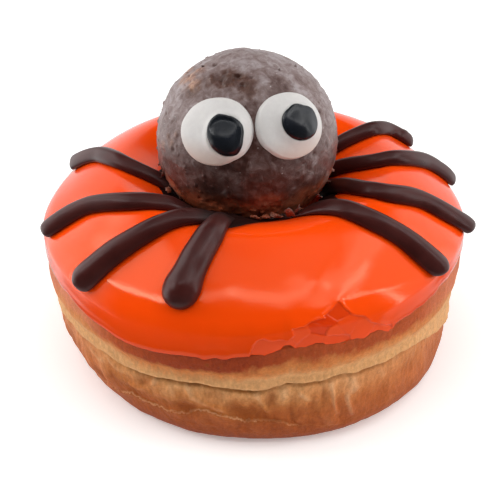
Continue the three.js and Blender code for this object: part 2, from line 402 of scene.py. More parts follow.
# The ragged edge of the smooth base skin
fringeLine = [
    (-180, 7.5), (-140, 6.2), (-110, 8.2), (-85, 5.0), (-60, 4.0), (-46, 5.2), (-38, 7.6),
    (-33, 6.9), (-26.6, 7.4), (-22.4, 7.6), (-19.4, 7.5), (-15.8, 9.6), (-14, 10.3), (-11.4, 10.3),
    (-9.6, 9.7), (-7.6, 9.5), (-5.4, 8.4), (-3.4, 7.7), (-1.2, 8.1), (1.4, 8.4), (2.8, 8.1),
    (5.2, 7.7), (10.8, 5.6), (16, 5.0), (22, 4.6), (40, 5.5), (70, 4.5), (100, 7.0), (140, 6.0),
]
fringeShares = [
    (-180, 0.5), (-120, 0.9), (-80, 0.4), (-48, 0.7), (-38, 0.9), (-24, 1.0), (2, 1.0), (8, 0.7),
    (14, 0.3), (30, 0.12), (60, 0.1), (100, 0.6), (140, 0.4),
]
# Sunken places as (turn, height, half width, half height, depth) in mm
pockets = [
    (-30.2, 14.6, 2.0, 1.7, 0.5), (-35.8, 9.8, 3.2, 1.8, 0.4), (-25.0, 10.2, 2.2, 2.0, 0.5),
    (-18.8, 10.2, 3.0, 1.9, 0.7), (-9.6, 15.6, 2.6, 1.2, 0.25), (-5.6, 12.4, 2.2, 2.0, 0.4),
    (-1.6, 10.3, 3.2, 2.0, 0.8), (-0.2, 12.6, 1.0, 1.6, 0.3), (4.4, 14.4, 1.1, 2.8, 0.6),
    (10.6, 10.6, 2.2, 2.0, 0.2), (16.2, 10.4, 1.4, 2.6, 0.35), (18.4, 13.2, 0.6, 3.0, 0.4),
    (23.4, 9.6, 1.0, 3.4, 0.4), (29.5, 10.4, 2.4, 2.2, 0.2), (36.0, 8.6, 3.0, 2.4, 0.2),
    (-43.0, 10.6, 2.2, 1.6, 0.2), (-50.0, 7.4, 2.6, 1.8, 0.2), (48.0, 11.6, 3.0, 2.4, 0.2),
    (-66, 10.0, 3.0, 2.6, 0.3), (64, 7.0, 4.0, 3.0, 0.2),
]
# Skin drawn into pale strands, in the same form with how strong they are
strandSpots = [
    (-48, 14.2, 4.0, 2.2, 1.0), (-56, 16.6, 3.0, 1.6, 0.8), (-37, 8.0, 5.0, 1.8, 1.0),
    (-29, 7.4, 3.0, 1.4, 0.9), (-30, 12.6, 2.6, 1.6, 0.7), (12, 13.6, 3.2, 2.0, 0.9),
    (0.5, 13.6, 3.0, 2.4, 0.5), (-8, 13.6, 3.0, 1.8, 0.5), (22, 12, 2.0, 4.0, 0.5),
    (44, 13.4, 4.0, 3.0, 0.6), (33, 15.6, 3.0, 1.4, 0.6), (55, 15.4, 3.0, 1.6, 0.8),
]
# Dark pores and one crumb on the crust, in the same form with their tone
specks = [
    (-11.4, 23.8, 0.42, 0.42, -1.3), (-8.0, 23.7, 0.34, 0.34, -0.6), (11.4, 23.9, 0.36, 0.36, -1.2),
    (12.4, 26.0, 0.3, 0.3, 1.2),
]
# Pale stretched folds of skin, as (turn, height) routes with their height and half width in mm
folds = [
    {"route": [(-26.2, 16.4), (-28.2, 13.6), (-32.4, 11.4), (-35.4, 11.7)], "rise": 0.5, "width": 0.5},
    {"route": [(-17.2, 16.8), (-16.2, 13.7), (-12.2, 12.1), (-8.2, 11.2)], "rise": 0.4, "width": 0.6},
    {"route": [(0.6, 16.2), (1.8, 13.6), (3.2, 11.2)], "rise": 0.45, "width": 0.5},
    {"route": [(7.8, 16.8), (7.2, 13.4)], "rise": 0.35, "width": 0.8},
    {"route": [(11.8, 15.4), (13.2, 14.4), (14.8, 13.0)], "rise": 0.45, "width": 0.45},
    {"route": [(20.2, 16.6), (20.8, 13.6), (21.6, 7.9)], "rise": 0.5, "width": 0.5},
    {"route": [(25.2, 12.0), (25.8, 6.5)], "rise": 0.3, "width": 0.5},
    {"route": [(26.4, 16.2), (27.4, 13.2)], "rise": 0.35, "width": 0.9},
    {"route": [(-42.0, 15.8), (-39.4, 14.4), (-37.0, 14.8)], "rise": 0.35, "width": 0.5},
    {"route": [(-50.0, 15.4), (-46.8, 14.0), (-44.6, 14.8)], "rise": 0.35, "width": 0.5},
    {"route": [(35.5, 15.4), (36.8, 13.6)], "rise": 0.25, "width": 0.7},
    {"route": [(-21.8, 15.4), (-20.6, 12.6)], "rise": 0.25, "width": 0.5},
]


# The wall's plain outline from under the icing to the floor, its height falling
def wallOutline():
    d, crease = dough, ring["crease"]
    radius, height = crownPoint(np.array([crownEnd - d["edgeTuck"]]), -d["icingDepth"])
    onCrust = [(d["crustRadius"] + out, level) for out, level in d["crustCorners"]]
    onBand = [(d["bandRadius"] + out, level) for out, level in d["bandCorners"]]
    creaseTop = (d["bandRadius"], crease + d["creaseSpan"][0])
    creaseFoot = (d["bellyRadius"], crease - d["creaseSpan"][1])
    handleHeight, handleShare = d["bellyHandle"]
    parts = [
        [(radius[0], height[0]), *onCrust[:3]],
        [onCrust[2], onCrust[3], *onBand[:2]],
        [onBand[1], *onBand[2:], creaseTop],
        [creaseTop, creaseFoot],
        [creaseFoot, (d["bellyRadius"] + 0.1, handleHeight),
         (mix(d["baseRadius"], d["bellyRadius"], handleShare), 0), (d["baseRadius"], 0)],
    ]
    lines = [bezier(corners, count) for corners, count in zip(parts, d["wallRows"])]
    return np.vstack([lines[0]] + [line[1:] for line in lines[1:]])


# How far each place of the wall is from a spot, squared, in the spot's own half sizes
def spotGap(turn, height, degrees, middle, halfWidth, halfHeight):
    across = roundOffset(turn, degrees, dough["round"]) / halfWidth
    return across ** 2 + ((height - middle) / halfHeight) ** 2


# Relief of the wall and the marks of its skin, at a turn and a height
def wallRelief(turn, height, below):
    d = dough
    around = roundPlaces(turn, d["round"], height)
    level = around * [1, 1, 0]
    belly = smoothstep(height, *d["bellyRises"]) * (1 - smoothstep(height, *d["bellyEnds"]))
    # Pleats where the belly's skin drew together, fewer at the right
    pleat = np.clip(np.abs(bumps(around * [1, 1, 0.3], d["pleatWidth"], 61)) * 1.6, 0, 1)
    calm = mix(1, d["calmShare"], smoothstep(np.degrees(turn), *d["calmTurns"]))
    relief = -d["pleatDepth"] * calm * belly * (1 - pleat) ** 2
    tone = calm * belly * (pleat - d["pleatPale"]) * 0.6
    # The crease, sharp above and soft below
    share = aroundLine(turn, creaseShares, 3) * (1 + 0.35 * bumps(level, 3.0, 62))
    gap = height - below
    width = np.where(gap > 0, d["creaseAbove"], d["creaseBelow"])
    dent = nearness(gap, width) * np.clip(share, 0.05, 1.2)
    relief -= d["creaseDepth"] * dent
    relief += d["lipRise"] * nearness(gap - d["lipAbove"], d["lipWidth"]) * share
    for *spot, depth in pockets:
        hollow = np.exp(-spotGap(turn, height, *spot) ** 1.3)
        relief -= depth * hollow
        tone -= (d["hollowDark"][0] + d["hollowDark"][1] * depth) * hollow
    strands = 0.3 * belly
    for *spot, strength in strandSpots:
        strands = np.maximum(strands, strength * np.exp(-spotGap(turn, height, *spot)))
    for *spot, dark in specks:
        tone += dark * np.exp(-spotGap(turn, height, *spot))
    for fold in folds:
        middle = fold["route"][0][0]
        line = [(math.radians(a - middle) * d["round"], b) for a, b in fold["route"]]
        offset = distanceToLine(roundOffset(turn, middle, d["round"]), height, line)
        relief += fold["rise"] * nearness(offset, fold["width"])
        tone += d["foldPale"] * fold["rise"] * nearness(offset, fold["width"] * 1.4)
    # The smooth base skin ends in a ragged edge that stands proud of what is above it
    torn = aroundLine(turn, fringeShares, 3)
    past = height - aroundLine(turn, fringeLine, 0.6)
    past = past - 0.35 * bumps(level, 1.1, 63) - 0.5 * bumps(level, 3.1, 64)
    step = smoothstep(past, -0.12, 0.12) * (1 - smoothstep(past, *d["fringeReach"]))
    relief -= d["fringeStep"] * torn * step
    relief += d["fringeRise"] * torn * nearness(past, 0.25)
    return relief, {
        "tone": tone, "shadow": dent * (gap < 1.2), "overSkin": past, "torn": torn, "strands": strands}


def buildDough(material):
    d, r = dough, ring
    turns = ringTurns(*d["turnSteps"], d["fineTurns"])
    columns = len(turns)
    # One closed outline: under the icing, down the wall, across the base and up through the hole
    wall = wallOutline()
    under = np.linspace(d["innerStart"], crownEnd - d["edgeTuck"], d["topRows"])[:-1]
    top = np.stack(crownPoint(under, -d["icingDepth"]), -1)
    throatRadius, inner = r["throat"][0], (d["baseInnerRadius"], 0)
    base = bezier([wall[-1], inner], d["baseRows"])
    hole = bezier([inner, (d["holeHandleRadius"], 0), (throatRadius, d["bellyHandle"][0]),
                   (throatRadius, d["holeWallHeight"])], d["holeRows"])
    handles = [(throatRadius + out, level) for out, level in d["throatHandles"]]
    throat = bezier([hole[-1], *handles, top[0]], d["throatRows"])
    path = np.vstack([top, wall, base[1:], hole[1:], throat[1:-1]])
    rows = len(path)
    onWall = np.zeros(rows, bool)
    onWall[len(top):len(top) + len(wall)] = True
    turn, onWall = np.tile(turns, rows), np.repeat(onWall, columns)
    radius, plain = np.repeat(path[:, 0], columns), np.repeat(path[:, 1], columns)
    # The rows near the crease follow it up and down
    low, high = d["creaseReach"]
    line = aroundLine(turn, creaseLine, 1.2)
    line += 0.2 * bumps(roundPlaces(turn, d["round"], 0 * turn), 2.4, 65)
    tent = np.minimum((plain - low) / (r["crease"] - low), (high - plain) / (high - r["crease"]))
    tent = np.clip(tent, 0, 1)
    height = np.where(onWall, plain + (line - r["crease"]) * tent, plain)
    radius = np.where(onWall & (tent > 0), np.interp(height, wall[::-1, 1], wall[::-1, 0]), radius)
    tucked = nearness(roundOffset(turn, d["tuckedTurn"], d["round"]), d["tuckedWidth"])
    tucked = tucked * (1 - smoothstep(height - line, -1.2, 0.3)) * smoothstep(height, 0, 5)
    radius -= d["tuckedDepth"] * tucked * onWall
    points = settle(turn, radius, height)
    normal = surfaceNormals(points, rows, columns)
    relief, marks = wallRelief(turn, height, line)
    relief = relief * onWall
    for rise, *kind in d["bodyBumps"]:
        relief += rise * roughBumps(points, *kind)
    # Above the torn skin the wall is rougher, drawn out upward
    rough = onWall * smoothstep(marks["overSkin"], -0.2, 0.2) * mix(1, 0.4, smoothstep(height, 20, 22))
    rise, *kind = d["skinBumps"]
    stretched = roundPlaces(turn, d["round"], height * d["skinDrawn"])
    relief += rough * rise * roughBumps(stretched, *kind)
    # Under the icing it lies a little lower, so no lump of it comes through
    covered = smoothstep(points[:, 2] - edgeHeight(turn), 0.3, 1.6) * smoothstep(plain, 20, 24)
    relief = mix(relief, d["coveredRelief"], covered)
    points = points + normal * (relief * smoothstep(height, 0.0, 1.5))[:, None]
    points[:, 2] = np.maximum(points[:, 2], 0)
    whole = smoothstep(radius, 30, 42)
    for name in ("tone", "shadow", "torn", "strands"):
        marks[name] = marks[name] * whole
    marks.update(
        level=height, overCrease=height - line, overBand=height - aroundLine(turn, crustLine, 3),
        fried=aroundLine(turn, crustShares, 4), ruddy=aroundLine(turn, ruddyShares, 4))
    piece = makePiece("friedRing", points, gridFaces(rows, columns, True), material, marks)
    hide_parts("ring_dough")
    print("dough", len(points), "points")


# What the dough's colours follow, each row worked out from those before it: a share takes a measure
# from its first two numbers to its last two, and the rest are sums and products
friedMeasures = [
    ("bellyDrift", "MULTIPLY_ADD", "blotch", 8.0, "level"),
    ("low", "MULTIPLY_ADD", "fibres", 3.0, "bellyDrift"),
    ("bellyShare", "share", "low", 6.0, 23.5, 0.0, 1.0),
    ("redShare", "share", "level", 3.0, 8.0, 0.35, 0.9),
    ("redder", "MULTIPLY", "ruddy", "redShare"),
    ("bandDrift", "MULTIPLY_ADD", "blotch", 3.4, "overBand"),
    ("high", "MULTIPLY_ADD", "fibres", 1.6, "bandDrift"),
    ("fringeShare", "share", "high", 0.2, 2.2, 0.0, 1.0),
    ("crustShare", "share", "high", 2.4, 3.6, 0.0, 1.0),
    ("upperShare", "share", "overCrease", -0.2, 0.2, 0.0, 1.0),
    ("sunken", "share", "tone", 0.0, -1.0, 0.0, 0.75),
    ("raised", "share", "tone", 0.05, 0.9, 0.0, 0.75),
    ("creased", "share", "wrinkles", 0.5, 0.95, 0.0, 1.0),
    ("strand", "MULTIPLY", "strands", "creased"),
    ("paleStrand", "MULTIPLY", "strand", 0.7),
    ("dim", "MULTIPLY", "shadow", 0.8),
    ("beyondSkin", "ADD", "overSkin", -0.7),
    ("hairy", "MULTIPLY_ADD", "mottle", 1.4, "beyondSkin"),
    ("hairStart", "share", "hairy", -0.2, 0.0, 0.0, 1.0),
    ("hairEnd", "share", "hairy", 0.05, 0.3, 1.0, 0.0),
    ("hairLine", "MULTIPLY", "hairStart", "hairEnd"),
    ("gaps", "share", "blotch", 0.4, 0.56, 0.25, 0.8),
    ("broken", "MULTIPLY", "torn", "gaps"),
    ("tornLine", "MULTIPLY", "hairLine", "broken"),
    ("mottled", "share", "mottle", 0.3, 0.7, 0.84, 1.16),
    ("striped", "share", "fibres", 0.3, 0.7, 0.86, 1.14),
    ("speckle", "MULTIPLY", "mottled", "striped"),
    ("fibreHeight", "MULTIPLY_ADD", "fibres", 0.8, "mottle"),
    ("height", "MULTIPLY_ADD", "strand", 1.5, "fibreHeight"),
]


# Fried yeast dough: matt, brown where the fat reached it, pale and stretched where the ring floated
def friedDoughMaterial():
    material, tree, shader = newMaterial("friedYeastDough", {
        "Roughness": 0.55, "IOR": 1.45, "Specular IOR Level": 0.18})
    found = {name: addNode(tree, "Attribute", {"attribute_name": name}, output="Fac") for name in (
        "level", "overCrease", "overBand", "overSkin", "tone", "shadow", "torn", "strands", "fried",
        "ruddy")}
    place = addNode(tree, "TexCoord", output="Object")
    upright = addNode(tree, "VectorMath", {"operation": "MULTIPLY", 0: place, 1: (1, 1, 0.45)})
    # Blotches about 4 mm across, a mottle under 1 mm, fibres drawn up the wall and the fine
    # wrinkles of stretched skin
    for name, form, where, scale, roughness in (
        ("blotch", "FBM", place, 240, 0.62),
        ("mottle", "FBM", place, 1500, 0.75),
        ("fibres", "FBM", upright, 1100, 0.62),
        ("wrinkles", "RIDGED_MULTIFRACTAL", upright, 420, 0.55),
    ):
        found[name] = addNode(tree, "TexNoise", {
            "noise_type": form, "Vector": where, "Scale": scale, "Detail": 5, "Roughness": roughness})
    for name, way, *terms in friedMeasures:
        terms = [found.get(term, term) for term in terms]
        if way == "share":
            keys = ("Value", "From Min", "From Max", "To Min", "To Max")
            found[name] = addNode(tree, "MapRange", dict(zip(keys, terms)))
        else:
            found[name] = addNode(tree, "Math", {"operation": way, **dict(enumerate(terms))})
    # The belly, from its smooth brown base to the paler folds under the crease at the top
    belly = addNode(tree, "ValToRGB", {"Fac": found["bellyShare"]}, stops=[
        (0.0, "#9c4619"), (0.3, "#a4501f"), (0.5, "#b4602a"), (0.68, "#c0763c"), (0.85, "#cc8c54"),
        (1.0, "#d6a06a")])
    # The brown crust, painted darkest in front and palest at the sides: painted shade and painted side
    # light
    crust = addNode(tree, "ValToRGB", {"Fac": found["fried"]}, stops=[
        (0.0, "#cc7852"), (0.5, "#b04f20"), (1.0, "#963810")])
    # The band with an orange fringe over it and then the crust, and the belly, painted ruddier at the
    # sides as painted side light
    colours = {}
    for name, share, under, over in (
        ("fringe", "fringeShare", "#d49c66", "#c8793e"),
        ("upper", "crustShare", "fringe", crust),
        ("belly", "redder", belly, "#c67242"),
        ("body", "upperShare", "belly", "upper"),
        ("body", "sunken", "body", "#8e430c"),           # sunken places: caramel, with painted shade that grows with their depth
        ("body", "raised", "body", "#e0b588"),           # stretched folds stayed pale
        ("body", "paleStrand", "body", "#e2b48c"),       # and so did the strands
        ("body", "dim", "body", "#80561f"),              # painted shade in the crease
        ("body", "tornLine", "body", "#d69c6e"),         # the base skin's torn edge, with fine hairs
    ):
        colours[name] = addNode(tree, "Mix", {
            "data_type": "RGBA", "Factor": found[share],
            6: colours.get(under, under), 7: colours.get(over, over)})
    final = addNode(tree, "Mix", {
        "data_type": "RGBA", "blend_type": "MULTIPLY", "Factor": 1.0,
        6: colours["body"], 7: found["speckle"]})
    bump = addNode(tree, "Bump", {"Strength": 0.7, "Distance": 0.0003, "Height": found["height"]})
    supply(shader, {"Base Color": final, "Normal": bump})
    return material


# Orange icing

icing = {
    "turnSteps": (0.72, 0.26),
    "finePart": (-8, 40),         # turns of the broken patch
    "round": 44.0,                # the radius that lengths round the face are taken at
    "start": -19.0,
    # The face's rows, as distance from the crest and how many lead up to it
    "rows": [(-9, 7), (13, 32), (18, 12)],
    "edgeRows": 54,
    "lipRows": 9,
    "lipThickness": 0.85,
    "innerReach": 4.0,            # how far the lip's inner side goes back up
    "waveHeight": 0.16,
    "waveLength": 15.0,
    "swellRise": 0.12,            # where the icing gathered above its edge before it set
    "swellAbove": 1.3,
    "swellWidth": 0.9,
    "raggedReach": 3.2,           # how far up from the edge its teeth pull the face
    "patchMiddle": 17,
    "patchReach": 24,
    "patchFrom": 16.0,
    "flakeDepth": 0.26,           # the outer layer that broke away
    "plateRange": (-0.14, 0.14),
    "crackWidth": 0.07,
    "crackDepth": 0.05,
    "rimCurl": 0.10,              # the break's rim curls up
    "shadeReach": 1.4,            # how far the painted shade at the chocolate's foot reaches over the icing in front of it
}

# The icing's edge in front, tooth by tooth, as (turn, height)
icingTeeth = [
    (-68, 27.7), (-64.8, 27.8), (-59.4, 27.1), (-56.6, 27.5), (-51.8, 26.6), (-49.2, 26.2),
    (-45.4, 25.6), (-40.4, 25.2), (-36.5, 24.4), (-33.2, 24.1), (-28.8, 24.2), (-25, 24.4),
    (-19.6, 25.0), (-16.8, 25.3), (-14, 25.4), (-12.2, 24.9), (-9.4, 25.8), (-7, 25.4),
    (-5.2, 26.1), (-2, 26.5), (-0.2, 26.8), (2.4, 26.4), (4.2, 27.0), (5, 27.3), (6.6, 27.9),
    (7.2, 28.8), (8.6, 28.8), (9.8, 27.6), (11.2, 27.4), (13.8, 27.9), (15, 28.4), (16.8, 28.1),
    (17.8, 27.3), (19.2, 26.7), (21.6, 26.7), (23.2, 26.4), (23.7, 27.2), (26, 27.2), (28, 26.6),
    (29.8, 27.2), (32.4, 27.4), (34.6, 26.4), (35.8, 26.0), (37, 26.5), (38.8, 27.4), (41.4, 27.6),
    (43.4, 27.4), (45.2, 28.0), (48.6, 27.8), (51.8, 28.4), (54.4, 28.2), (55.8, 29.2),
    (58.4, 29.1), (61.6, 28.6), (64.2, 29.1), (68, 28.5), (73, 29.2),
]
# The broken patch, where the outer layer came off down to the edge, as (turn, distance from the crest)
flakedPatch = [
    (-1.2, 32.0), (-0.9, 28.0), (-0.4, 26.6), (0.6, 25.0), (2.4, 24.6), (4.2, 25.8), (6.0, 25.7),
    (8.2, 26.6), (9.4, 25.3), (9.1, 23.2), (12.0, 22.8), (14.2, 21.8), (17.6, 21.3), (17.2, 20.8),
    (18.8, 20.2), (21.8, 18.2), (23.2, 20.0), (24.8, 21.8), (28.0, 23.1), (29.8, 25.4),
    (33.0, 27.2), (36.4, 28.6), (37.5, 32.0),
]
# The plates left in it, as (turn, distance, rise, fall to the right, fall downward, painted shade) in mm
# and mm per mm; the painted shade darkens a plate in place of the light its tilt would catch
plates = [
    (20.8, 20.4, -0.04, 0.05, -0.06, 0.7), (17.9, 22.3, -0.08, 0.05, 0.0, 1.0),
    (22.8, 24.0, 0.06, -0.03, 0.03, 0.25), (28.2, 26.0, 0.06, 0.02, 0.03, 0.12),
    (33.6, 27.8, 0.04, 0.02, 0.03, 0.05), (19.9, 25.3, 0.1, 0.0, 0.0, 0.15),
    (19.4, 27.9, 0.0, -0.07, 0.03, 0.35), (16.0, 24.4, -0.1, 0.05, -0.02, 0.95),
    (14.4, 27.4, 0.05, 0.04, 0.02, 0.3), (11.0, 24.9, 0.06, -0.02, 0.03, 0.15),
    (6.3, 26.8, 0.04, 0.02, 0.0, 0.2),
]
# Small bumps and dents of the face, as (turn, distance, half width, rise) in mm
icingBumps = [
    (17.8, 13.2, 2.4, 0.16), (22.0, 17.4, 1.6, 0.14), (-33, 15.5, 5.0, -0.12),
    (-24, 19.5, 6.0, 0.1), (5, 21, 8.0, -0.06), (-8, 12.6, 4.0, 0.08), (32, 12.5, 5.0, 0.14),
    (40, 17, 5.0, -0.1), (9, 15.6, 3.5, 0.06), (-14.6, 16.6, 0.5, 0.1), (-58, 14, 5.0, 0.12),
    (-50, 21, 4.0, -0.08),
]


# Relief of the broken patch, with marks of where it lies, its cracks and the painted shade of its plates
def brokenPlates(turn, along):
    across = roundOffset(turn, 0, icing["round"])
    reach = math.radians(icing["patchReach"])
    near = (np.abs(turn - math.radians(icing["patchMiddle"])) < reach) & (along > icing["patchFrom"])
    relief, flaked, cracked, shade = (np.zeros(len(turn)) for _ in range(4))
    x, y = across[near], along[near]
    toMm = math.radians(1) * icing["round"]
    # The breaks wander a little, so no side is straight
    wander = np.stack([x, y, 0 * x], -1)
    x, y = x + 0.22 * bumps(wander, 1.3, 71), y + 0.22 * bumps(wander, 1.3, 72)
    outline = [(a * toMm, b) for a, b in flakedPatch]
    edge = distanceToLine(x, y, outline)
    reach = np.where(isInside(x, y, outline), edge, -edge)
    gaps = np.stack([np.hypot(x - a * toMm, y - b) for a, b, *_ in plates])
    ordered = np.sort(gaps, axis=0)
    seam = ordered[1] - ordered[0]
    a, b, rise, right, down, shaded = np.array(plates)[np.argmin(gaps, axis=0)].T
    level = np.clip(rise + right * (x - a * toMm) + down * (y - b), *icing["plateRange"])
    crack = nearness(seam / 2, icing["crackWidth"])
    taken = smoothstep(reach, -0.07, 0.07)
    relief[near] = taken * (level - icing["flakeDepth"] - icing["crackDepth"] * crack)
    relief[near] += icing["rimCurl"] * nearness(np.minimum(reach, 0), 0.5) * (1 - taken)
    flaked[near], shade[near] = taken, taken * shaded
    cracked[near] = np.maximum(taken * crack, nearness(reach, 0.1) * 0.5)
    return relief, {"flaked": flaked, "cracked": cracked, "shade": shade}


def buildIcing(material):
    lip = icing["lipThickness"]
    turns = ringTurns(*icing["turnSteps"], icing["finePart"])
    columns = len(turns)
    # Rows over the face, round the lip and back up its inner side
    lipStart, spans, start = crownEnd - lip / 2, [], icing["start"]
    for end, count in icing["rows"] + [(lipStart, icing["edgeRows"])]:
        spans.append(np.linspace(start, end, count)[:-1])
        start = end
    outer = np.concatenate(spans)
    bend = np.linspace(0, math.pi, icing["lipRows"])
    inner = np.linspace(lipStart, crownEnd - icing["innerReach"], 5)[1:]
    distance = np.concatenate([outer, lipStart + lip / 2 * np.sin(bend), inner])
    depth = np.concatenate([0 * outer, lip / 2 * (1 - np.cos(bend)), 0 * inner + lip])
    rows = len(distance)
    turn = np.tile(turns, rows)
    along, below = np.repeat(distance, columns), np.repeat(depth, columns)
    # Teeth of the edge, listed in front and by chance round the back
    around = roundPlaces(turn, icing["round"], 0 * turn)
    front = smoothstep(np.cos(turn), 0.2, 0.5)
    extra = front * (edgeHeight(turn) - aroundLine(turn, icingTeeth, 0.5))
    extra += (1 - front) * (0.35 * bumps(around, 5, 73) + 0.3 * bumps(around, 1.8, 74))
    extra += 0.10 * bumps(around, 0.8, 75)
    along = along + extra * smoothstep(along, crownEnd - icing["raggedReach"], crownEnd - 0.3)
    radius, height = crownPoint(along, -below)
    points = settle(turn, radius, height)
    normal = surfaceNormals(points, rows, columns)
    outside = (below < lip / 2 + 1e-6).astype(float)
    waves = icing["waveHeight"] * smoothstep(along, -10, 6)
    relief = waves * bumps(points, icing["waveLength"], 21)
    relief += 0.02 * bumps(points, 3.5, 22)
    for degrees, level, halfWidth, rise in icingBumps:
        gap = np.hypot(roundOffset(turn, degrees, icing["round"]), along - level)
        relief += rise * nearness(gap, halfWidth)
    broken, marks = brokenPlates(turn, along)
    relief += outside * broken
    marks["fromEdge"] = crownEnd + extra - along
    swell = icing["swellRise"] * nearness(marks["fromEdge"] - icing["swellAbove"], icing["swellWidth"])
    relief += outside * swell * (1 - marks["flaked"])
    relief -= 0.16 * smoothstep(radius, 45, 47.4)         # the rim keeps within the solid's width
    points = points + normal * relief[:, None]
    # Painted shade on the icing just past the chocolate's edge in front, under the ball
    beyond = np.maximum(along - aroundLine(turn, pool["edge"], 3), 0)
    marks["shaded"] = nearness(beyond, icing["shadeReach"]) * smoothstep(np.cos(turn), 0.6, 0.8)
    piece = makePiece("dippedIcing", points, gridFaces(rows, columns), material, marks)
    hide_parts("orange_icing")
    print("icing", len(points), "points")


# Dipped sugar icing: opaque and glossy in one sheet, chalkier where its outer layer broke away
def dippedIcingMaterial():
    material, tree, shader = newMaterial("dippedSugarIcing", {
        "Roughness": 0.12, "IOR": 1.48, "Specular IOR Level": 0.5, "Specular Tint": "#fff1ce",
        "Subsurface Weight": 0.12, "Subsurface Radius": [0.0012, 0.0004, 0.0002], "Subsurface Scale": 1.0,
    })
    marks = {name: addNode(tree, "Attribute", {"attribute_name": name}, output="Fac")
             for name in ("fromEdge", "flaked", "cracked", "shade", "shaded")}
    place = addNode(tree, "TexCoord", output="Object")
    # Darker and redder over the last few mm: thinner icing there lets the brown crust warm it, and
    # painted shade darkens its lower side
    thinAndShaded = addNode(tree, "MapRange", {
        "Value": marks["fromEdge"], "From Min": 0, "From Max": 9.0, "To Min": 1, "To Max": 0})
    split = addNode(tree, "Math", {"operation": "MULTIPLY", 0: marks["cracked"], 1: 0.18})
    under = addNode(tree, "Math", {"operation": "MULTIPLY", 0: marks["shaded"], 1: 0.7})
    # The sheet and the broken plates with their painted shade, then the cracks and the painted shade at
    # the chocolate's foot
    colours = {}
    for name, share, below, over in (
        ("sheet", thinAndShaded, "#fb4b09", "#d43f07"),
        ("plate", marks["shade"], "#e8480f", "#d83602"),
        ("face", marks["flaked"], "sheet", "plate"),
        ("face", split, "face", "#b02c08"),
        ("face", under, "face", "#7c1c00"),
    ):
        colours[name] = addNode(tree, "Mix", {
            "data_type": "RGBA", "Factor": share,
            6: colours.get(below, below), 7: colours.get(over, over)})
    chalky = addNode(tree, "MapRange", {"Value": marks["flaked"], "To Min": 0.12, "To Max": 0.27})
    # Sugar grain about 0.5 mm across, only just there
    grain = addNode(tree, "TexNoise", {"Vector": place, "Scale": 2000, "Detail": 2, "Roughness": 0.5})
    bump = addNode(tree, "Bump", {"Strength": 0.08, "Distance": 0.0001, "Height": grain})
    supply(shader, {"Base Color": colours["face"], "Roughness": chalky, "Normal": bump})
    return material


# Cake ball

ball = {
    "radius": 19.5,
    "reach": 19.72,               # no lump stands out further, as the solid ends there
    "stretch": (1.018, 1.0, 1.0),     # a little wider than tall
    "centre": (-2.5, 0.0, 51.3),
    "sideCells": 122,
    "lumpSize": 8.0,
    "lumpHeight": 0.26,
    "cragSize": 2.6,
    "cragHeight": 0.2,
    "spikeHeight": 0.7,
    "crumbHeight": 0.45,
    "pitCount": 60,
    "pitWidths": (0.25, 0.6),
    "pitDepths": (0.1, 0.35),
    "flakeCells": 6,
}

# Places on the ball: how much they rise, how crumbly and how glazed they are, and where they lie
# as (turn, tilt, half width in mm)
ballMarks = [
    (0.32, 1.0, 0.0, [
        (-78, 52, 1.9), (-98, 51, 1.3), (-64, 51, 1.5), (-86, 47, 1.3), (-80, 59, 1.2),
    ]),
    (-0.2, 0.15, -0.5, [(-58, 48, 1.5), (-62, 46, 1.2)]),
    (-0.16, 0.15, -0.5, [
        (-44, 59, 1.7), (-38, 64, 1.6), (-28, 66, 1.6), (-20, 62, 1.5), (-9, 66, 1.6), (1, 62, 1.6),
        (2, 55, 1.6), (-30, 60, 1.3),
    ]),
    (-0.35, 0.0, -0.4, [(-12, 68, 0.7), (-16, 67, 0.6), (-34, 62, 0.5), (-6, 61, 0.5)]),
    (-0.35, 0.0, -0.3, [(-74, 25, 0.6), (-61, 26, 0.7)]),
    (0.3, 0.6, -0.1, [(-53, 20, 0.6), (-56, 12, 0.8), (-64, 8, 1.0), (-60, 15, 0.6)]),
    (0.05, 0.0, 0.1, [(14, 72, 3.0), (-20, 80, 4.0), (40, 62, 3.0), (58, 50, 3.0), (-45, 70, 3.0)]),
    (0.12, 0.0, 0.22, [(22, 61, 0.7), (27, 62, 0.6), (56, 50, 1.1), (62, 40, 1.2)]),
    (-0.05, 0.0, -0.3, [(38, 60, 1.8), (30, 52, 1.8), (44, 52, 1.4)]),
    # Thinner glaze down the front and round the front of the middle: painted shade between the lit sides
    (0.0, 0.0, -0.35, [(-8, 8, 2.4), (0, 20, 2.6), (4, 34, 2.4), (2, 44, 1.8)]),
    (0.0, 0.0, -0.15, [(16, -2, 3.6), (-22, -6, 3.6), (34, -8, 3.4), (2, 2, 3.0)]),
    (0.08, 0.0, 0.35, [
        (37, 1, 1.0), (46, 3, 1.0), (42, -6, 0.9), (32, -3, 0.6), (-14, -10, 0.8), (20, -12, 0.7),
        (30, -10, 0.6),
    ]),
    (0.0, 0.0, 0.12, [(-26, -16, 2.2), (-12, -20, 2.4), (4, -18, 2.4)]),
    (0.1, 0.2, 0.05, [(-8, -26, 2.0), (10, -24, 2.2), (28, -22, 2.4), (-30, -26, 2.2)]),
    (0.4, 0.3, 0.25, [
        (2, -37, 1.8), (10, -40, 1.6), (18, -36, 1.8), (25, -38, 1.6), (-6, -40, 1.6),
        (33, -36, 1.4),
    ]),
    (0.2, 0.45, 0.3, [
        (-68, -22, 2.4), (-74, -26, 2.2), (-60, -26, 2.0), (-78, -14, 1.6), (-80, -20, 2.0),
    ]),
    (0.2, 0.1, 0.35, [(64, -16, 1.6), (70, -22, 1.6), (58, -24, 1.6), (74, -10, 1.3)]),
]

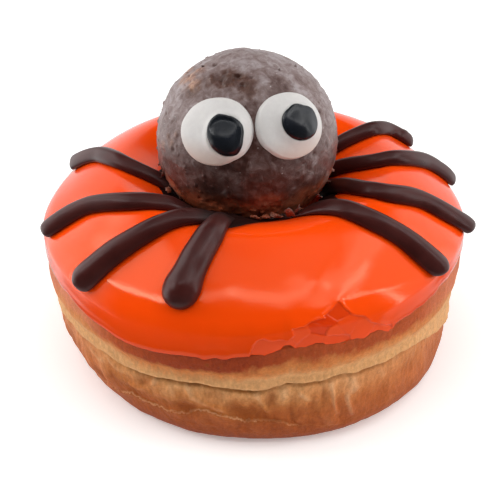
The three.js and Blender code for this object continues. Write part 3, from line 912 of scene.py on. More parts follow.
# Loose flakes of glaze and cake on the ball, as (turn, tilt), and round its foot on the icing, as
# (turn, distance); then length, width and thickness in mm, how they lean and stand up in degrees,
# and how glazed they are
looseFlakes = [
    (-74, -16, 2.6, 1.3, 0.5, 20, 40, 0.9), (-76, -20, 2.8, 1.6, 0.6, -30, 55, 1.0),
    (-72, -23, 3.0, 1.5, 0.6, 60, 35, 0.8), (-77, -26, 2.6, 1.4, 0.6, 10, 60, 0.9),
    (-68, -27, 2.6, 1.5, 0.7, -50, 30, 0.7), (-64, -20, 2.0, 1.2, 0.5, 30, 20, 0.6),
    (-70, -31, 2.6, 1.5, 0.7, 80, 40, 0.8), (-80, -13, 1.6, 0.9, 0.4, 0, 60, 1.0),
    (-82, -32, 2.4, 1.4, 0.6, -20, 50, 0.9), (-60, -29, 2.0, 1.3, 0.7, 15, 25, 0.5),
    (-66, -14, 1.4, 0.8, 0.4, -60, 15, 0.9), (-56, -24, 1.6, 1.1, 0.5, 45, 15, 0.4),
    (76, -16, 1.6, 1.0, 0.4, 30, 50, 0.9), (72, -24, 2.2, 1.2, 0.5, -15, 55, 1.0),
    (78, -26, 1.8, 1.0, 0.5, 70, 50, 0.8), (60, -24, 1.6, 1.0, 0.5, 0, 20, 0.6),
    (56, 66, 1.0, 0.7, 0.3, 0, 60, 1.0), (-86, 62, 1.2, 0.8, 0.3, 30, 50, 0.9),
    (-95, 50, 1.0, 0.7, 0.3, 30, 60, 0.9), (92, 58, 1.1, 0.7, 0.3, -30, 60, 1.0),
    (-90, 30, 0.9, 0.6, 0.3, 0, 60, 0.8), (-56, 12, 1.2, 0.8, 0.5, 40, 20, 0.2),
    (-66, 8, 1.5, 0.9, 0.5, -10, 20, 0.2), (-53, 20, 1.0, 0.7, 0.4, 60, 20, 0.2),
    (100, -28, 2.4, 1.2, 0.6, 15, 30, 0.5), (128, -26, 2.6, 1.3, 0.6, -25, 30, 0.4),
    (160, -24, 2.0, 1.1, 0.5, 35, 20, 0.6), (-160, -26, 2.6, 1.2, 0.6, 10, 30, 0.4),
    (-132, -24, 2.2, 1.1, 0.5, -30, 30, 0.6), (-104, -28, 2.4, 1.3, 0.6, 20, 30, 0.5),
]
footFlakes = [
    (20.5, -8.6, 2.6, 1.8, 0.6, -60, 45, 0.8), (25.0, -8.9, 3.2, 1.4, 0.5, -100, 40, 0.9),
    (14.0, -9.6, 2.6, 2.0, 1.1, 20, 25, 0.5), (7.0, -9.8, 2.0, 1.7, 1.0, 70, 20, 0.3),
    (11.0, -9.0, 1.2, 0.8, 0.5, 35, 30, 0.8), (1.0, -9.6, 2.4, 1.8, 1.0, -20, 15, 0.15),
    (31.5, -9.6, 1.8, 1.2, 0.6, 30, 30, 0.5), (-31.6, -3.9, 2.2, 1.3, 0.8, 40, 10, 1.0),
    (-64, -9.4, 1.8, 1.3, 0.7, 15, 25, 0.4),
]


# A sphere of six square grids, with its shared edges merged
def cubeSphere(cells):
    angles = np.tan(np.linspace(-math.pi / 4, math.pi / 4, cells + 1))
    u, v = np.meshgrid(angles, angles, indexing="ij")
    one = np.ones_like(u)
    sides = [(one, u, v), (-one, v, u), (v, one, u), (u, -one, v), (u, v, one), (v, u, -one)]
    points = np.concatenate([np.stack(side, -1).reshape(-1, 3) for side in sides])
    points /= np.linalg.norm(points, axis=1)[:, None]
    row = np.arange(cells)[:, None] * (cells + 1) + np.arange(cells)[None, :]
    quads = np.stack([row, row + cells + 1, row + cells + 2, row + 1], -1).reshape(-1, 4)
    quads = np.concatenate([quads + i * (cells + 1) ** 2 for i in range(6)])
    keys = np.round(points * 1e6).astype(np.int64)
    _, first, back = np.unique(keys, axis=0, return_index=True, return_inverse=True)
    return points[first], back.reshape(-1)[quads]


def direction(turn, tilt):
    turn, tilt = math.radians(turn), math.radians(tilt)
    return np.array([math.sin(turn) * math.cos(tilt), -math.cos(turn) * math.cos(tilt), math.sin(tilt)])


# The glaze share is painted higher on top, at the sides and at the back, and lower in front and
# underneath, as painted light and shade; the added bumps are the glaze's own uneven spread
def ballGlazeAndLight(unit, points):
    side, back, up = np.abs(unit[:, 0]), unit[:, 1], unit[:, 2]
    glaze = mix(0.4, 0.72, smoothstep(up, -0.1, 0.75))
    glaze = glaze + 0.2 * smoothstep(side, 0.5, 0.95) * smoothstep(up, -0.5, 0.2)
    glaze += 0.15 * smoothstep(back, -0.2, 0.6) * smoothstep(up, -0.4, 0.2)
    glaze -= 0.35 * smoothstep(-up, 0.1, 0.4)
    return glaze + 0.14 * bumps(points, 7, 41) + 0.1 * roughBumps(points, 1.8, 4, 44)


def buildBall(material):
    unit, quads = cubeSphere(ball["sideCells"])
    points = unit * ball["radius"]
    patchy = smoothstep(bumps(points, 6.5, 37), -0.25, 0.35)
    relief = ball["lumpHeight"] * bumps(points, ball["lumpSize"], 31)
    relief += ball["cragHeight"] * roughBumps(points, ball["cragSize"], 3, 35) * mix(0.5, 1.5, patchy)
    # Small spikes of dried glaze stand up here and there
    relief += ball["spikeHeight"] * smoothstep(roughBumps(points, 1.5, 2, 39), 0.5, 1.1)
    crumb, pitted = np.zeros(len(points)), np.zeros(len(points))
    glaze = ballGlazeAndLight(unit, points)
    ragged = 0.7 * roughBumps(points, 1.6, 3, 47)
    for rise, crumbly, glazed, spots in ballMarks:
        for turn, tilt, halfWidth in spots:
            gap = np.linalg.norm(points - direction(turn, tilt) * ball["radius"], axis=1)
            share = np.exp(-(np.maximum(gap + halfWidth * ragged, 0) / halfWidth) ** 2.4)
            relief += rise * share
            crumb = np.maximum(crumb, crumbly * share)
            glaze += glazed * share
    relief += crumb * (ball["crumbHeight"] * roughBumps(points, 1.1, 2, 49))
    draw = np.random.default_rng(7)
    for _ in range(ball["pitCount"]):
        way = direction(draw.uniform(-180, 180), math.degrees(math.asin(draw.uniform(-0.75, 1))))
        width = draw.uniform(*ball["pitWidths"])
        pit = nearness(np.linalg.norm(points - way * ball["radius"], axis=1), width)
        relief -= draw.uniform(*ball["pitDepths"]) * pit
        pitted = np.maximum(pitted, pit)
    relief = np.minimum(relief, ball["reach"] - ball["radius"])
    shaped = unit * (ball["radius"] + relief)[:, None] * ball["stretch"] + np.array(ball["centre"])
    # Low on the ball, painted orange light thrown up from the icing takes over the colour
    low = smoothstep(-unit[:, 2] + 0.1 * roughBumps(points, 5, 2, 50), 0.15, 0.5)
    piece = makePiece("cakeBall", shaped, quads, material, {
        "glaze": np.clip(glaze - 0.3 * pitted, 0, 1), "crumb": crumb, "low": low})
    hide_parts("chocolate_ball")
    print("ball", len(points), "points")


# Where each flake lies, the way out of the surface there, its shape and how far down it is, which sets
# its painted orange light from the icing
def flakeSpots():
    for turn, tilt, *shape in looseFlakes:
        out = direction(turn, tilt)
        low = 0.6 * (1 - smoothstep(out[2], -0.1, 0.3))
        yield np.array(ball["centre"]) + out * ball["radius"], out, shape, low
    for turn, distance, *shape in footFlakes:
        turns, at = np.radians([turn]), np.array([distance])
        low, high = (settle(turns, *crownPoint(at, lift))[0] for lift in (0.0, 1.0))
        yield high, (high - low) / np.linalg.norm(high - low), shape, 0.5


# Ragged flakes on the ball and round its foot, pointed at one end and torn along their sides
def buildFlakes(material):
    unit, quads = cubeSphere(ball["flakeCells"])
    points, faces, glaze, lows = [], [], [], []
    for i, (place, out, (length, width, thick, lean, stand, glazed), low) in enumerate(flakeSpots()):
        across = np.cross((0, 0, 1), out)
        across /= np.linalg.norm(across)
        lean, stand = math.radians(lean), math.radians(stand)
        flat = across * math.cos(lean) + np.cross(across, out) * math.sin(lean)
        along = flat * math.cos(stand) + out * math.sin(stand)
        torn = 1 + 0.8 * roughBumps(unit * 2.2, 1.0, 2, 80 + i)
        local = unit * [length * 0.45, width * 0.5, thick * 0.3] * torn[:, None]
        local[:, 1] *= 1 - 0.55 * smoothstep(unit[:, 0], -0.2, 1.0)
        place = place + along * length * 0.3 * math.sin(stand)
        wide = np.cross(out, flat)
        axes = np.stack([along, wide, np.cross(along, wide)])
        points.append(place + local @ axes)
        faces.append(quads + i * len(unit))
        glaze.append(np.full(len(unit), glazed) + 0.2 * unit[:, 0])
        lows.append(np.full(len(unit), low))
    count, glaze, low = len(points), np.concatenate(glaze), np.concatenate(lows)
    piece = makePiece("looseFlakes", np.vstack(points), np.vstack(faces), material, {
        "glaze": 0.62 * glaze, "crumb": 0 * glaze, "low": low * (1 - 0.25 * glaze)})
    print("flakes", count)


# Chocolate cake under a dried sugar glaze: milky and mottled where it lies thick, dark and moist
# where thin
def glazedCakeMaterial():
    material, tree, shader = newMaterial("glazedChocolateCake", {
        "IOR": 1.45, "Specular IOR Level": 0.4,
        "Coat Weight": 0.25, "Coat Roughness": 0.24, "Coat IOR": 1.45})
    marks = {name: addNode(tree, "Attribute", {"attribute_name": name}, output="Fac")
             for name in ("glaze", "crumb", "low")}
    place = addNode(tree, "TexCoord", output="Object")
    # Drifts about 8 mm across, a streaky mottle from 2 mm down to about 0.1 mm, and pale veins
    drifts = addNode(tree, "TexNoise", {"Vector": place, "Scale": 125, "Detail": 3, "Roughness": 0.5})
    mottle = addNode(tree, "TexNoise", {
        "Vector": place, "Scale": 430, "Detail": 9, "Roughness": 0.74, "Distortion": 0.9})
    veins = addNode(tree, "TexNoise", {
        "noise_type": "RIDGED_MULTIFRACTAL", "Vector": place,
        "Scale": 210, "Detail": 6, "Roughness": 0.6})
    drifting = addNode(tree, "Math", {"operation": "MULTIPLY_ADD", 0: drifts, 1: 0.5, 2: -0.95})
    uneven = addNode(tree, "Math", {"operation": "MULTIPLY_ADD", 0: mottle, 1: 1.4, 2: drifting})
    amount = addNode(tree, "Math", {"operation": "ADD", 0: marks["glaze"], 1: uneven})
    milky = addNode(tree, "ValToRGB", {"Fac": amount}, stops=[
        (0.0, "#3a1f19"), (0.25, "#4a2e28"), (0.5, "#604a46"), (0.72, "#796663"), (1.0, "#9b8f8f")])
    # Low down: the glaze's glassy look and painted orange light from the icing below, brighter than the
    # milky ramp
    glassyAndIcingLit = addNode(tree, "ValToRGB", {"Fac": amount}, stops=[
        (0.0, "#c86440"), (0.3, "#c47050"), (0.6, "#b47c6a"), (1.0, "#b09088")])
    bare = addNode(tree, "ValToRGB", {"Fac": mottle}, stops=[
        (0.32, "#5a3526"), (0.48, "#8e6652"), (0.62, "#b89078")])
    crumbly = addNode(tree, "Math", {"operation": "MULTIPLY", 0: marks["crumb"], 1: 0.9})
    veined = addNode(tree, "MapRange", {
        "Value": veins, "From Min": 0.6, "From Max": 1.0, "To Max": 0.34})
    # Sugar grains about 0.2 mm across, on some of the cells
    grains = addNode(tree, "TexVoronoi", {"Vector": place, "Scale": 800})
    inGrain = addNode(tree, "MapRange", {
        "Value": grains, "From Min": 0.06, "From Max": 0.16, "To Min": 1, "To Max": 0})
    chosen = addNode(tree, "SeparateColor", {0: grains.node.outputs["Color"]})
    some = addNode(tree, "MapRange", {
        "Value": chosen, "From Min": 0.72, "From Max": 0.95, "To Max": 0.6})
    grainy = addNode(tree, "Math", {"operation": "MULTIPLY", 0: inGrain, 1: some})
    body = milky
    for share, over in (
        (marks["low"], glassyAndIcingLit), (crumbly, bare), (veined, "#a89c9c"), (grainy, "#c8bfbd"),
    ):
        body = addNode(tree, "Mix", {"data_type": "RGBA", "Factor": share, 6: body, 7: over})
    dull = addNode(tree, "MapRange", {"Value": amount, "To Min": 0.34, "To Max": 0.55})
    height = addNode(tree, "Math", {"operation": "MULTIPLY_ADD", 0: veins, 1: 0.35, 2: mottle})
    bump = addNode(tree, "Bump", {"Strength": 0.8, "Distance": 0.0003, "Height": height})
    supply(shader, {"Base Color": body, "Roughness": dull, "Normal": bump})
    return material


# Sugar eyes

eye = {
    "halfWidth": 7.8,
    "halfHeight": 7.1,
    "edge": 1.25,
    "dome": 2.5,
    "lipRise": 0.45,              # a soft lip stands round the black drop
    "lipAt": 1.05,
    "lipWidth": 0.22,
    "valley": 0.35,               # and a valley lies beside it, in mm
    "valleyAt": (-3.4, 0.3),
    "valleyHalf": (2.6, 4.0),
    "pupilEdge": 0.7,
    "pupilDome": 1.9,
    "pupilSink": 0.3,
    "outlineRounding": 14,        # degrees
    "sides": 128,
    "rings": 64,
    "edgeRows": 12,
    "reach": 0.995,
}

# Outlines are (angle from the right, share of the half size); hollows and ridges of the black drops
# are (place, half sizes, rise) in mm
eyes = [
    {
        "side": "left", "turn": -22.2, "tilt": 28.3,
        "pupil": (3.0, -0.25), "pupilHalf": (3.6, 4.2), "pupilLean": 0.34,
        "outline": [
            (-173, 0.99), (-154, 0.97), (-130, 0.965), (-108, 0.96), (-90, 0.94), (-73, 0.935),
            (-50, 0.91), (-31, 0.955), (-9, 0.975), (3, 0.98), (20, 1.0), (41, 1.02), (66, 1.03),
            (86, 1.0), (104, 0.965), (129, 0.95), (158, 0.95), (176, 0.99),
        ],
        "pupilOutline": [
            (0, 1.0), (37, 1.04), (62, 0.97), (90, 0.93), (108, 1.0), (121, 1.1), (138, 1.1),
            (158, 1.05), (176, 0.98), (-149, 0.87), (-110, 0.89), (-75, 1.0), (-46, 1.12),
            (-21, 1.06),
        ],
        "pupilForms": [
            ((0.0, 3.0), (2.4, 0.8), -0.12), ((2.1, -0.2), (0.8, 2.6), 0.14),
            ((-2.2, 0.2), (1.1, 1.4), 0.09), ((0.0, -1.6), (2.0, 1.4), -0.08),
        ],
    },
    {
        "side": "right", "turn": 32.0, "tilt": 29.7,
        "pupil": (1.2, 0.5), "pupilHalf": (4.1, 3.8), "pupilLean": 0.3,
        "outline": [
            (-167, 0.925), (-146, 0.885), (-122, 0.9), (-103, 0.9), (-83, 0.9), (-63, 0.92),
            (-46, 0.94), (-29, 0.97), (0, 1.0), (28, 0.99), (50, 1.01), (68, 1.0), (90, 0.99),
            (109, 1.0), (130, 0.99), (155, 0.955), (175, 0.94),
        ],
        "pupilOutline": [
            (4, 1.0), (34, 1.04), (60, 0.92), (75, 0.95), (90, 1.0), (104, 0.98), (117, 0.95),
            (137, 1.0), (151, 1.03), (176, 1.0), (-153, 0.98), (-120, 0.98), (-83, 1.0),
            (-54, 1.04), (-21, 1.02),
        ],
        "pupilForms": [
            ((0.4, 2.3), (1.1, 1.1), 0.12), ((-2.4, 1.2), (1.0, 1.0), 0.09),
            ((2.6, 1.0), (0.9, 1.1), 0.1), ((0.0, -1.2), (2.4, 1.4), -0.08),
        ],
    },
]


def eyeAxes(aim):
    turn = math.radians(aim["turn"])
    across, out = np.array([math.cos(turn), math.sin(turn), 0]), direction(aim["turn"], aim["tilt"])
    return across, np.cross(out, across), out


def ballFloor(x, y):
    return np.sqrt((ball["radius"] + 0.1) ** 2 - x * x - y * y)


# How high the white stands over the ball's centre
def whiteTop(x, y, aim):
    share = np.clip(1 - (x / eye["halfWidth"]) ** 2 - (y / eye["halfHeight"]) ** 2, 0, 1)
    (shiftX, shiftY), (halfX, halfY) = aim["pupil"], aim["pupilHalf"]
    around = np.hypot((x - shiftX) / halfX, (y - shiftY) / halfY)
    lip = eye["lipRise"] * nearness(around - eye["lipAt"], eye["lipWidth"])
    (atX, atY), (wide, tall) = eye["valleyAt"], eye["valleyHalf"]
    valley = eye["valley"] * nearness(x - atX, wide) * nearness(y - atY, tall)
    body = mix(eye["edge"], eye["dome"], share ** 0.6) + (lip - valley) * smoothstep(share, 0.0, 0.3)
    return ballFloor(x, y) + body


# How high the black drop stands, its face a little uneven and looking upward
def blackTop(x, y, aim):
    (shiftX, shiftY), (halfX, halfY) = aim["pupil"], aim["pupilHalf"]
    x0, y0 = x - shiftX, y - shiftY
    swell = aroundLine(np.arctan2(y0 / halfY, x0 / halfX), aim["pupilOutline"], eye["outlineRounding"])
    inside = np.clip(1 - (np.hypot(x0 / halfX, y0 / halfY) / swell) ** 2, 0, 1)
    body = mix(eye["pupilEdge"], eye["pupilDome"], inside ** 0.55)
    for (atX, atY), (wide, tall), rise in aim["pupilForms"]:
        body += rise * nearness(x0 - atX, wide) * nearness(y0 - atY, tall)
    return whiteTop(x, y, aim) + body - aim["pupilLean"] * y0 * inside - eye["pupilSink"]


# A drop with a round edge: its rows go out over its face, round the edge and in to its foot
def dropPiece(name, node, material, aim, halves, shift, outline, floor, edge, top):
    angle = np.linspace(-math.pi, math.pi, eye["sides"], endpoint=False)
    over = np.sin(np.linspace(0, math.pi / 2, eye["rings"])) * eye["reach"]
    turned = np.linspace(0, math.pi, eye["edgeRows"])[1:]
    reach = np.concatenate([over, np.full(len(turned), eye["reach"])])
    # How far the edge bulges out, and how far each row has come down from the face to the foot
    push = np.concatenate([0 * over, min(edge * 0.75, 0.9) * 0.28 * np.sin(turned)])
    fall = np.concatenate([0 * over, 0.5 * (1 - np.cos(turned))])
    row, angles = np.meshgrid(np.arange(len(reach)), angle, indexing="ij")
    swell = aroundLine(angles, outline, eye["outlineRounding"])
    x = (halves[0] * reach[row] * swell + push[row]) * np.cos(angles) + shift[0]
    y = (halves[1] * reach[row] * swell + push[row]) * np.sin(angles) + shift[1]
    lift = mix(top(x, y), floor(x, y) - 0.25, fall[row])
    across, up, out = eyeAxes(aim)
    points = np.array(ball["centre"]) + x[..., None] * across + y[..., None] * up + lift[..., None] * out
    foot = smoothstep(shift[1] - y.ravel(), 0.15 * halves[1], halves[1])
    faces = gridFaces(len(reach), eye["sides"])
    piece = makePiece(name, points.reshape(-1, 3), faces, material, {"foot": foot})
    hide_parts(node)


def buildEyes(white, black):
    for aim in eyes:
        side = aim["side"]
        dropPiece(
            f"{side}EyeWhite", f"eye_{side}_white", white, aim,
            (eye["halfWidth"], eye["halfHeight"]), (0, 0), aim["outline"],
            ballFloor, eye["edge"], lambda x, y: whiteTop(x, y, aim))
        dropPiece(
            f"{side}Pupil", f"eye_{side}_pupil", black, aim,
            aim["pupilHalf"], aim["pupil"], aim["pupilOutline"],
            lambda x, y: whiteTop(x, y, aim), eye["pupilEdge"], lambda x, y: blackTop(x, y, aim))
    print("eyes", len(eyes))


# Pressed icing sugar: matt and very pale, with a faint dusty mottle about 1 mm across
def pressedSugarMaterial():
    material, tree, shader = newMaterial("pressedIcingSugar", {
        "Roughness": 0.5, "IOR": 1.45,
        "Subsurface Weight": 0.25, "Subsurface Radius": [0.001, 0.0009, 0.0008], "Subsurface Scale": 1.0})
    place = addNode(tree, "TexCoord", output="Object")
    dust = addNode(tree, "TexNoise", {"Vector": place, "Scale": 1000, "Detail": 4, "Roughness": 0.6})
    pale = addNode(tree, "ValToRGB", {"Fac": dust}, stops=[(0.3, "#c9c5c3"), (0.7, "#cfccc9")])
    # Its lower rim is painted pinker: painted bounce light from the orange icing below
    foot = addNode(tree, "Attribute", {"attribute_name": "foot"}, output="Fac")
    paintedBounce = addNode(tree, "Math", {"operation": "MULTIPLY", 0: foot, 1: 0.55})
    tinted = addNode(tree, "Mix", {"data_type": "RGBA", "Factor": paintedBounce, 6: pale, 7: "#cba793"})
    bump = addNode(tree, "Bump", {"Strength": 0.15, "Distance": 0.0001, "Height": dust})
    supply(shader, {"Base Color": tinted, "Normal": bump})
    return material


# Black sugar drops: poured wet, so they set glassy, with an uneven skin a few mm across
def blackSugarMaterial():
    material, tree, shader = newMaterial("blackSugarDrop", {
        "Roughness": 0.27, "IOR": 1.5, "Specular IOR Level": 0.45})
    place = addNode(tree, "TexCoord", output="Object")
    skin = addNode(tree, "TexNoise", {"Vector": place, "Scale": 420, "Detail": 2, "Roughness": 0.5})
    colour = addNode(tree, "ValToRGB", {"Fac": skin}, stops=[(0.3, "#0f1217"), (0.7, "#191c22")])
    bump = addNode(tree, "Bump", {"Strength": 0.12, "Distance": 0.0004, "Height": skin})
    supply(shader, {"Base Color": colour, "Normal": bump})
    return material


# Piped legs

# Widths at the root and the tip in mm, and the route as (turn, distance from the crest)
legRoutes = {
    "left_1": ((4.2, 4.6), [(-66, -14), (-74, -10), (-84, -2), (-98, 5), (-106, 14)]),
    "left_2": ((4.4, 5), [(-31, -11.5), (-38, -6), (-49, -0.5), (-67, 8.5), (-74, 19)]),
    "left_3": ((4.4, 6), [(-8, -10.5), (-18, -4.5), (-32, 1.2), (-42, 10.5), (-48, 19.8)]),
    "left_4": ((4.9, 7.2), [(-9, -11), (-14, -5), (-15.2, 1.4), (-17.6, 8), (-19.3, 15.2)]),
    "right_1": ((4.2, 4.6), [(124, -14.5), (122, -10), (118, -1), (121, 6.5), (118.5, 11)]),
    "right_2": ((4.2, 4.8), [(110, -15), (100, -11), (89, -2), (100, 10), (104, 19.6)]),
    "right_3": ((4.6, 5.2), [(82, -14.5), (72, -10), (60, -1), (71, 8.5), (79, 21.4)]),
    "right_4": ((4.8, 5.8), [(22, -13), (32, -8), (41, 1), (50, 10.5), (54.5, 20.2)]),
}
legShape = {
    "height": 2.7,
    "belly": 0.8,                 # how high its widest line lies
    "sink": 0.25,
    "crest": 0.3,
    "tipSwell": 0.10,             # the bag slowed at the tip
    "tipAt": 0.95,
    "tipWidth": 0.1,
    "wavers": [(0.03, 13, 2.1), (0.012, 31, 1.0)],     # how much, how often along it, shift per leg
    "rows": 96,
    "capRows": 12,
    "sides": 36,
    "buried": ("left_2", "left_3", "left_4", "right_4"),
    "rootHeight": 0.3,
    "rootReach": (0.1, 0.4),
}


# A smooth line through the corners, as three.js draws it
def splineThrough(corners, share):
    corners = np.array(corners, float)
    spot = share * (len(corners) - 1)
    start = np.minimum(spot.astype(int), len(corners) - 2)
    t = (spot - start)[:, None]
    p0, p1 = corners[np.maximum(start - 1, 0)], corners[start]
    p2, p3 = corners[start + 1], corners[np.minimum(start + 2, len(corners) - 1)]
    v0, v1 = (p2 - p0) / 2, (p3 - p1) / 2
    return (2 * p1 - 2 * p2 + v0 + v1) * t ** 3 + (-3 * p1 + 3 * p2 - 2 * v0 - v1) * t ** 2 + v0 * t + p1


# Places beside a leg's middle line, at shares along it, and how far they lie beyond the pool's edge
def legPoints(route, share, past, across, lift):
    here, ahead, behind = (splineThrough(route, np.clip(share + step, 0, 1)) for step in (0, 0.02, -0.02))
    radius, _ = crownPoint(here[:, 1])
    sideways = np.radians(ahead[:, 0] - behind[:, 0]) * radius
    outward = ahead[:, 1] - behind[:, 1]
    size = np.hypot(sideways, outward)
    sideways, outward = sideways / size, outward / size
    turn = np.radians(here[:, 0]) + (sideways * past + outward * across) / radius
    distance = here[:, 1] + outward * past - sideways * across
    return settle(turn, *crownPoint(distance, lift)), distance - aroundLine(turn, pool["edge"], 3)


def buildLegs(material):
    s = legShape
    rows, caps, sides = s["rows"], s["capRows"], s["sides"]
    bend = np.linspace(0, math.pi / 2, caps, endpoint=False)
    along = np.concatenate([np.zeros(caps), np.linspace(0, 1, rows), np.ones(caps)])
    ends = np.concatenate([-np.cos(bend), np.zeros(rows), np.cos(bend[::-1])])
    rounded = np.maximum(np.concatenate([np.sin(bend), np.ones(rows), np.sin(bend[::-1])]), 0.02)
    count = len(along)
    angles = np.tile(np.linspace(0, 2 * math.pi, sides, endpoint=False), count)
    up = np.sin(angles)
    for number, (name, (widths, route)) in enumerate(legRoutes.items()):
        halfWidth = mix(*widths, smoothstep(along, 0.15, 1.0)) / 2
        halfWidth = halfWidth * (1 + s["tipSwell"] * nearness(along - s["tipAt"], s["tipWidth"]) - 0.04)
        waver = 1
        for size, times, shift in s["wavers"]:
            waver = waver + size * np.sin(along * times + number * shift)
        halfWidth = halfWidth * waver
        rootHeight = s["rootHeight"] if name in s["buried"] else 1
        rise = mix(rootHeight, 1, smoothstep(along, *s["rootReach"]))
        share, past, girth, halfWidth, rise = (
            np.repeat(values, sides) for values in (along, ends * halfWidth, rounded, halfWidth, rise))
        tall = np.maximum(s["height"], halfWidth * 1.12)
        crest = s["crest"] * np.maximum(up, 0) ** 9
        lift = s["belly"] - s["sink"] + girth * np.where(
            up < 0, s["belly"] * up, (tall - s["belly"]) * up + crest)
        across = -np.cos(angles) * girth * halfWidth
        points, beyond = legPoints(route, share, past, across, lift * rise)
        wobble = 0.03 * bumps(points, 5, 90 + number) + 0.008 * bumps(points, 1.5, 99 + number)
        shaped = points.reshape(count, sides, 3)
        outward = shaped - shaped.mean(axis=1, keepdims=True)
        outward /= np.linalg.norm(outward, axis=2, keepdims=True) + 1e-9
        points = (shaped + outward * wobble.reshape(count, sides, 1)).reshape(-1, 3)
        # The legs are painted darker toward and inside the chocolate under the ball: painted shadow
        piece = makePiece(f"leg_{name}_piped", points, gridFaces(count, sides), material, {
            "paintedShadow": 1 - smoothstep(beyond, -2.5, 1.5)})
        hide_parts(f"leg_{name}")
    print("legs", len(legRoutes))


# Chocolate that ran together where the legs start, under the ball; in front it spreads wide as a
# near-black sheet in place of the shadow there, a painted shadow
pool = {
    "height": 0.9,
    "sink": 0.2,
    "frontRise": 0.9,             # how much thicker it is where the front legs start
    "frontTurn": -18,
    "frontWidth": 15,
    "innerDistance": -15.5,
    "thinsOver": (-13.5, -10.5),  # it fades out where its edge comes this near the inner side
    "columns": 320,
    "rows": 26,
    "edge": [
        (-180, -13.5), (-120, -12.5), (-95, -9.0), (-80, -8.2), (-68, -8.4), (-56, -7.4),
        (-43, -6.0), (-38, -4.8), (-32, -3.4), (-25, -1.1), (-21, -0.2), (-14.8, 0.3), (-9, -0.8),
        (-5, -3.0), (0, -6.5), (4, -8.6), (8.6, -9.4), (14.4, -9.6), (19, -9.8), (24.8, -9.6),
        (29.8, -7.2), (33.2, -3.8), (40, -3.6), (46, -4.6), (54.6, -7.5), (62, -10.6), (74, -11.5),
        (86, -12.4), (100, -12.6), (115, -13.0), (130, -13.5),
    ],
}


def buildPool(material):
    turns = np.linspace(-math.pi, math.pi, pool["columns"], endpoint=False)
    share = np.linspace(1, 0, pool["rows"])
    turn, share = np.tile(turns, pool["rows"]), np.repeat(share, pool["columns"])
    edge = aroundLine(turn, pool["edge"], 3)
    distance = mix(pool["innerDistance"], edge, share)
    points = settle(turn, *crownPoint(distance, 0 * distance))
    edge += 0.25 * bumps(points, 2.2, 106)
    distance = mix(pool["innerDistance"], edge, share)
    front = nearness(np.degrees(turn) - pool["frontTurn"], pool["frontWidth"])
    thick = (pool["height"] + pool["frontRise"] * front) * np.sqrt(np.clip(1 - share ** 2.2, 0, 1))
    lift = thick * smoothstep(edge, *pool["thinsOver"]) - pool["sink"]
    lift += 0.3 * roughBumps(points, 2.4, 2, 105) * (1 - share ** 3)
    faces = gridFaces(pool["rows"], pool["columns"])
    piece = makePiece("chocolateRootsAndShadow", settle(turn, *crownPoint(distance, lift)), faces, material, {
        "paintedShadow": np.ones(len(turn))})
    print("roots", len(points), "points")


# Piped dark chocolate: set satin, a little cloudy, and duller where it ran together under the ball, where
# it is painted nearly black as painted shadow
def pipedChocolateMaterial(name, gloss):
    material, tree, shader = newMaterial(name, {"IOR": 1.46, "Specular IOR Level": gloss})
    place = addNode(tree, "TexCoord", output="Object")
    # Cloudy patches about 5 mm across and a skin under 1 mm
    cloud = addNode(tree, "TexNoise", {"Vector": place, "Scale": 200, "Detail": 3, "Roughness": 0.55})
    skin = addNode(tree, "TexNoise", {"Vector": place, "Scale": 1500, "Detail": 3, "Roughness": 0.6})
    colour = addNode(tree, "ValToRGB", {"Fac": cloud}, stops=[(0.3, "#371412"), (0.7, "#431c19")])
    # Under the ball it lies fat, and it is painted nearly black there: painted shadow
    paintedShadow = addNode(tree, "Attribute", {"attribute_name": "paintedShadow"}, output="Fac")
    sunk = addNode(tree, "Math", {"operation": "MULTIPLY", 0: paintedShadow, 1: 0.9})
    dark = addNode(tree, "Mix", {"data_type": "RGBA", "Factor": sunk, 6: colour, 7: "#160b09"})
    satin = addNode(tree, "MapRange", {"Value": cloud, "To Min": 0.24, "To Max": 0.36})
    duller = addNode(tree, "Math", {"operation": "MULTIPLY_ADD", 0: paintedShadow, 1: 0.25, 2: satin})
    bump = addNode(tree, "Bump", {"Strength": 0.12, "Distance": 0.0001, "Height": skin})
    supply(shader, {"Base Color": dark, "Roughness": duller, "Normal": bump})
    return material


# Studio

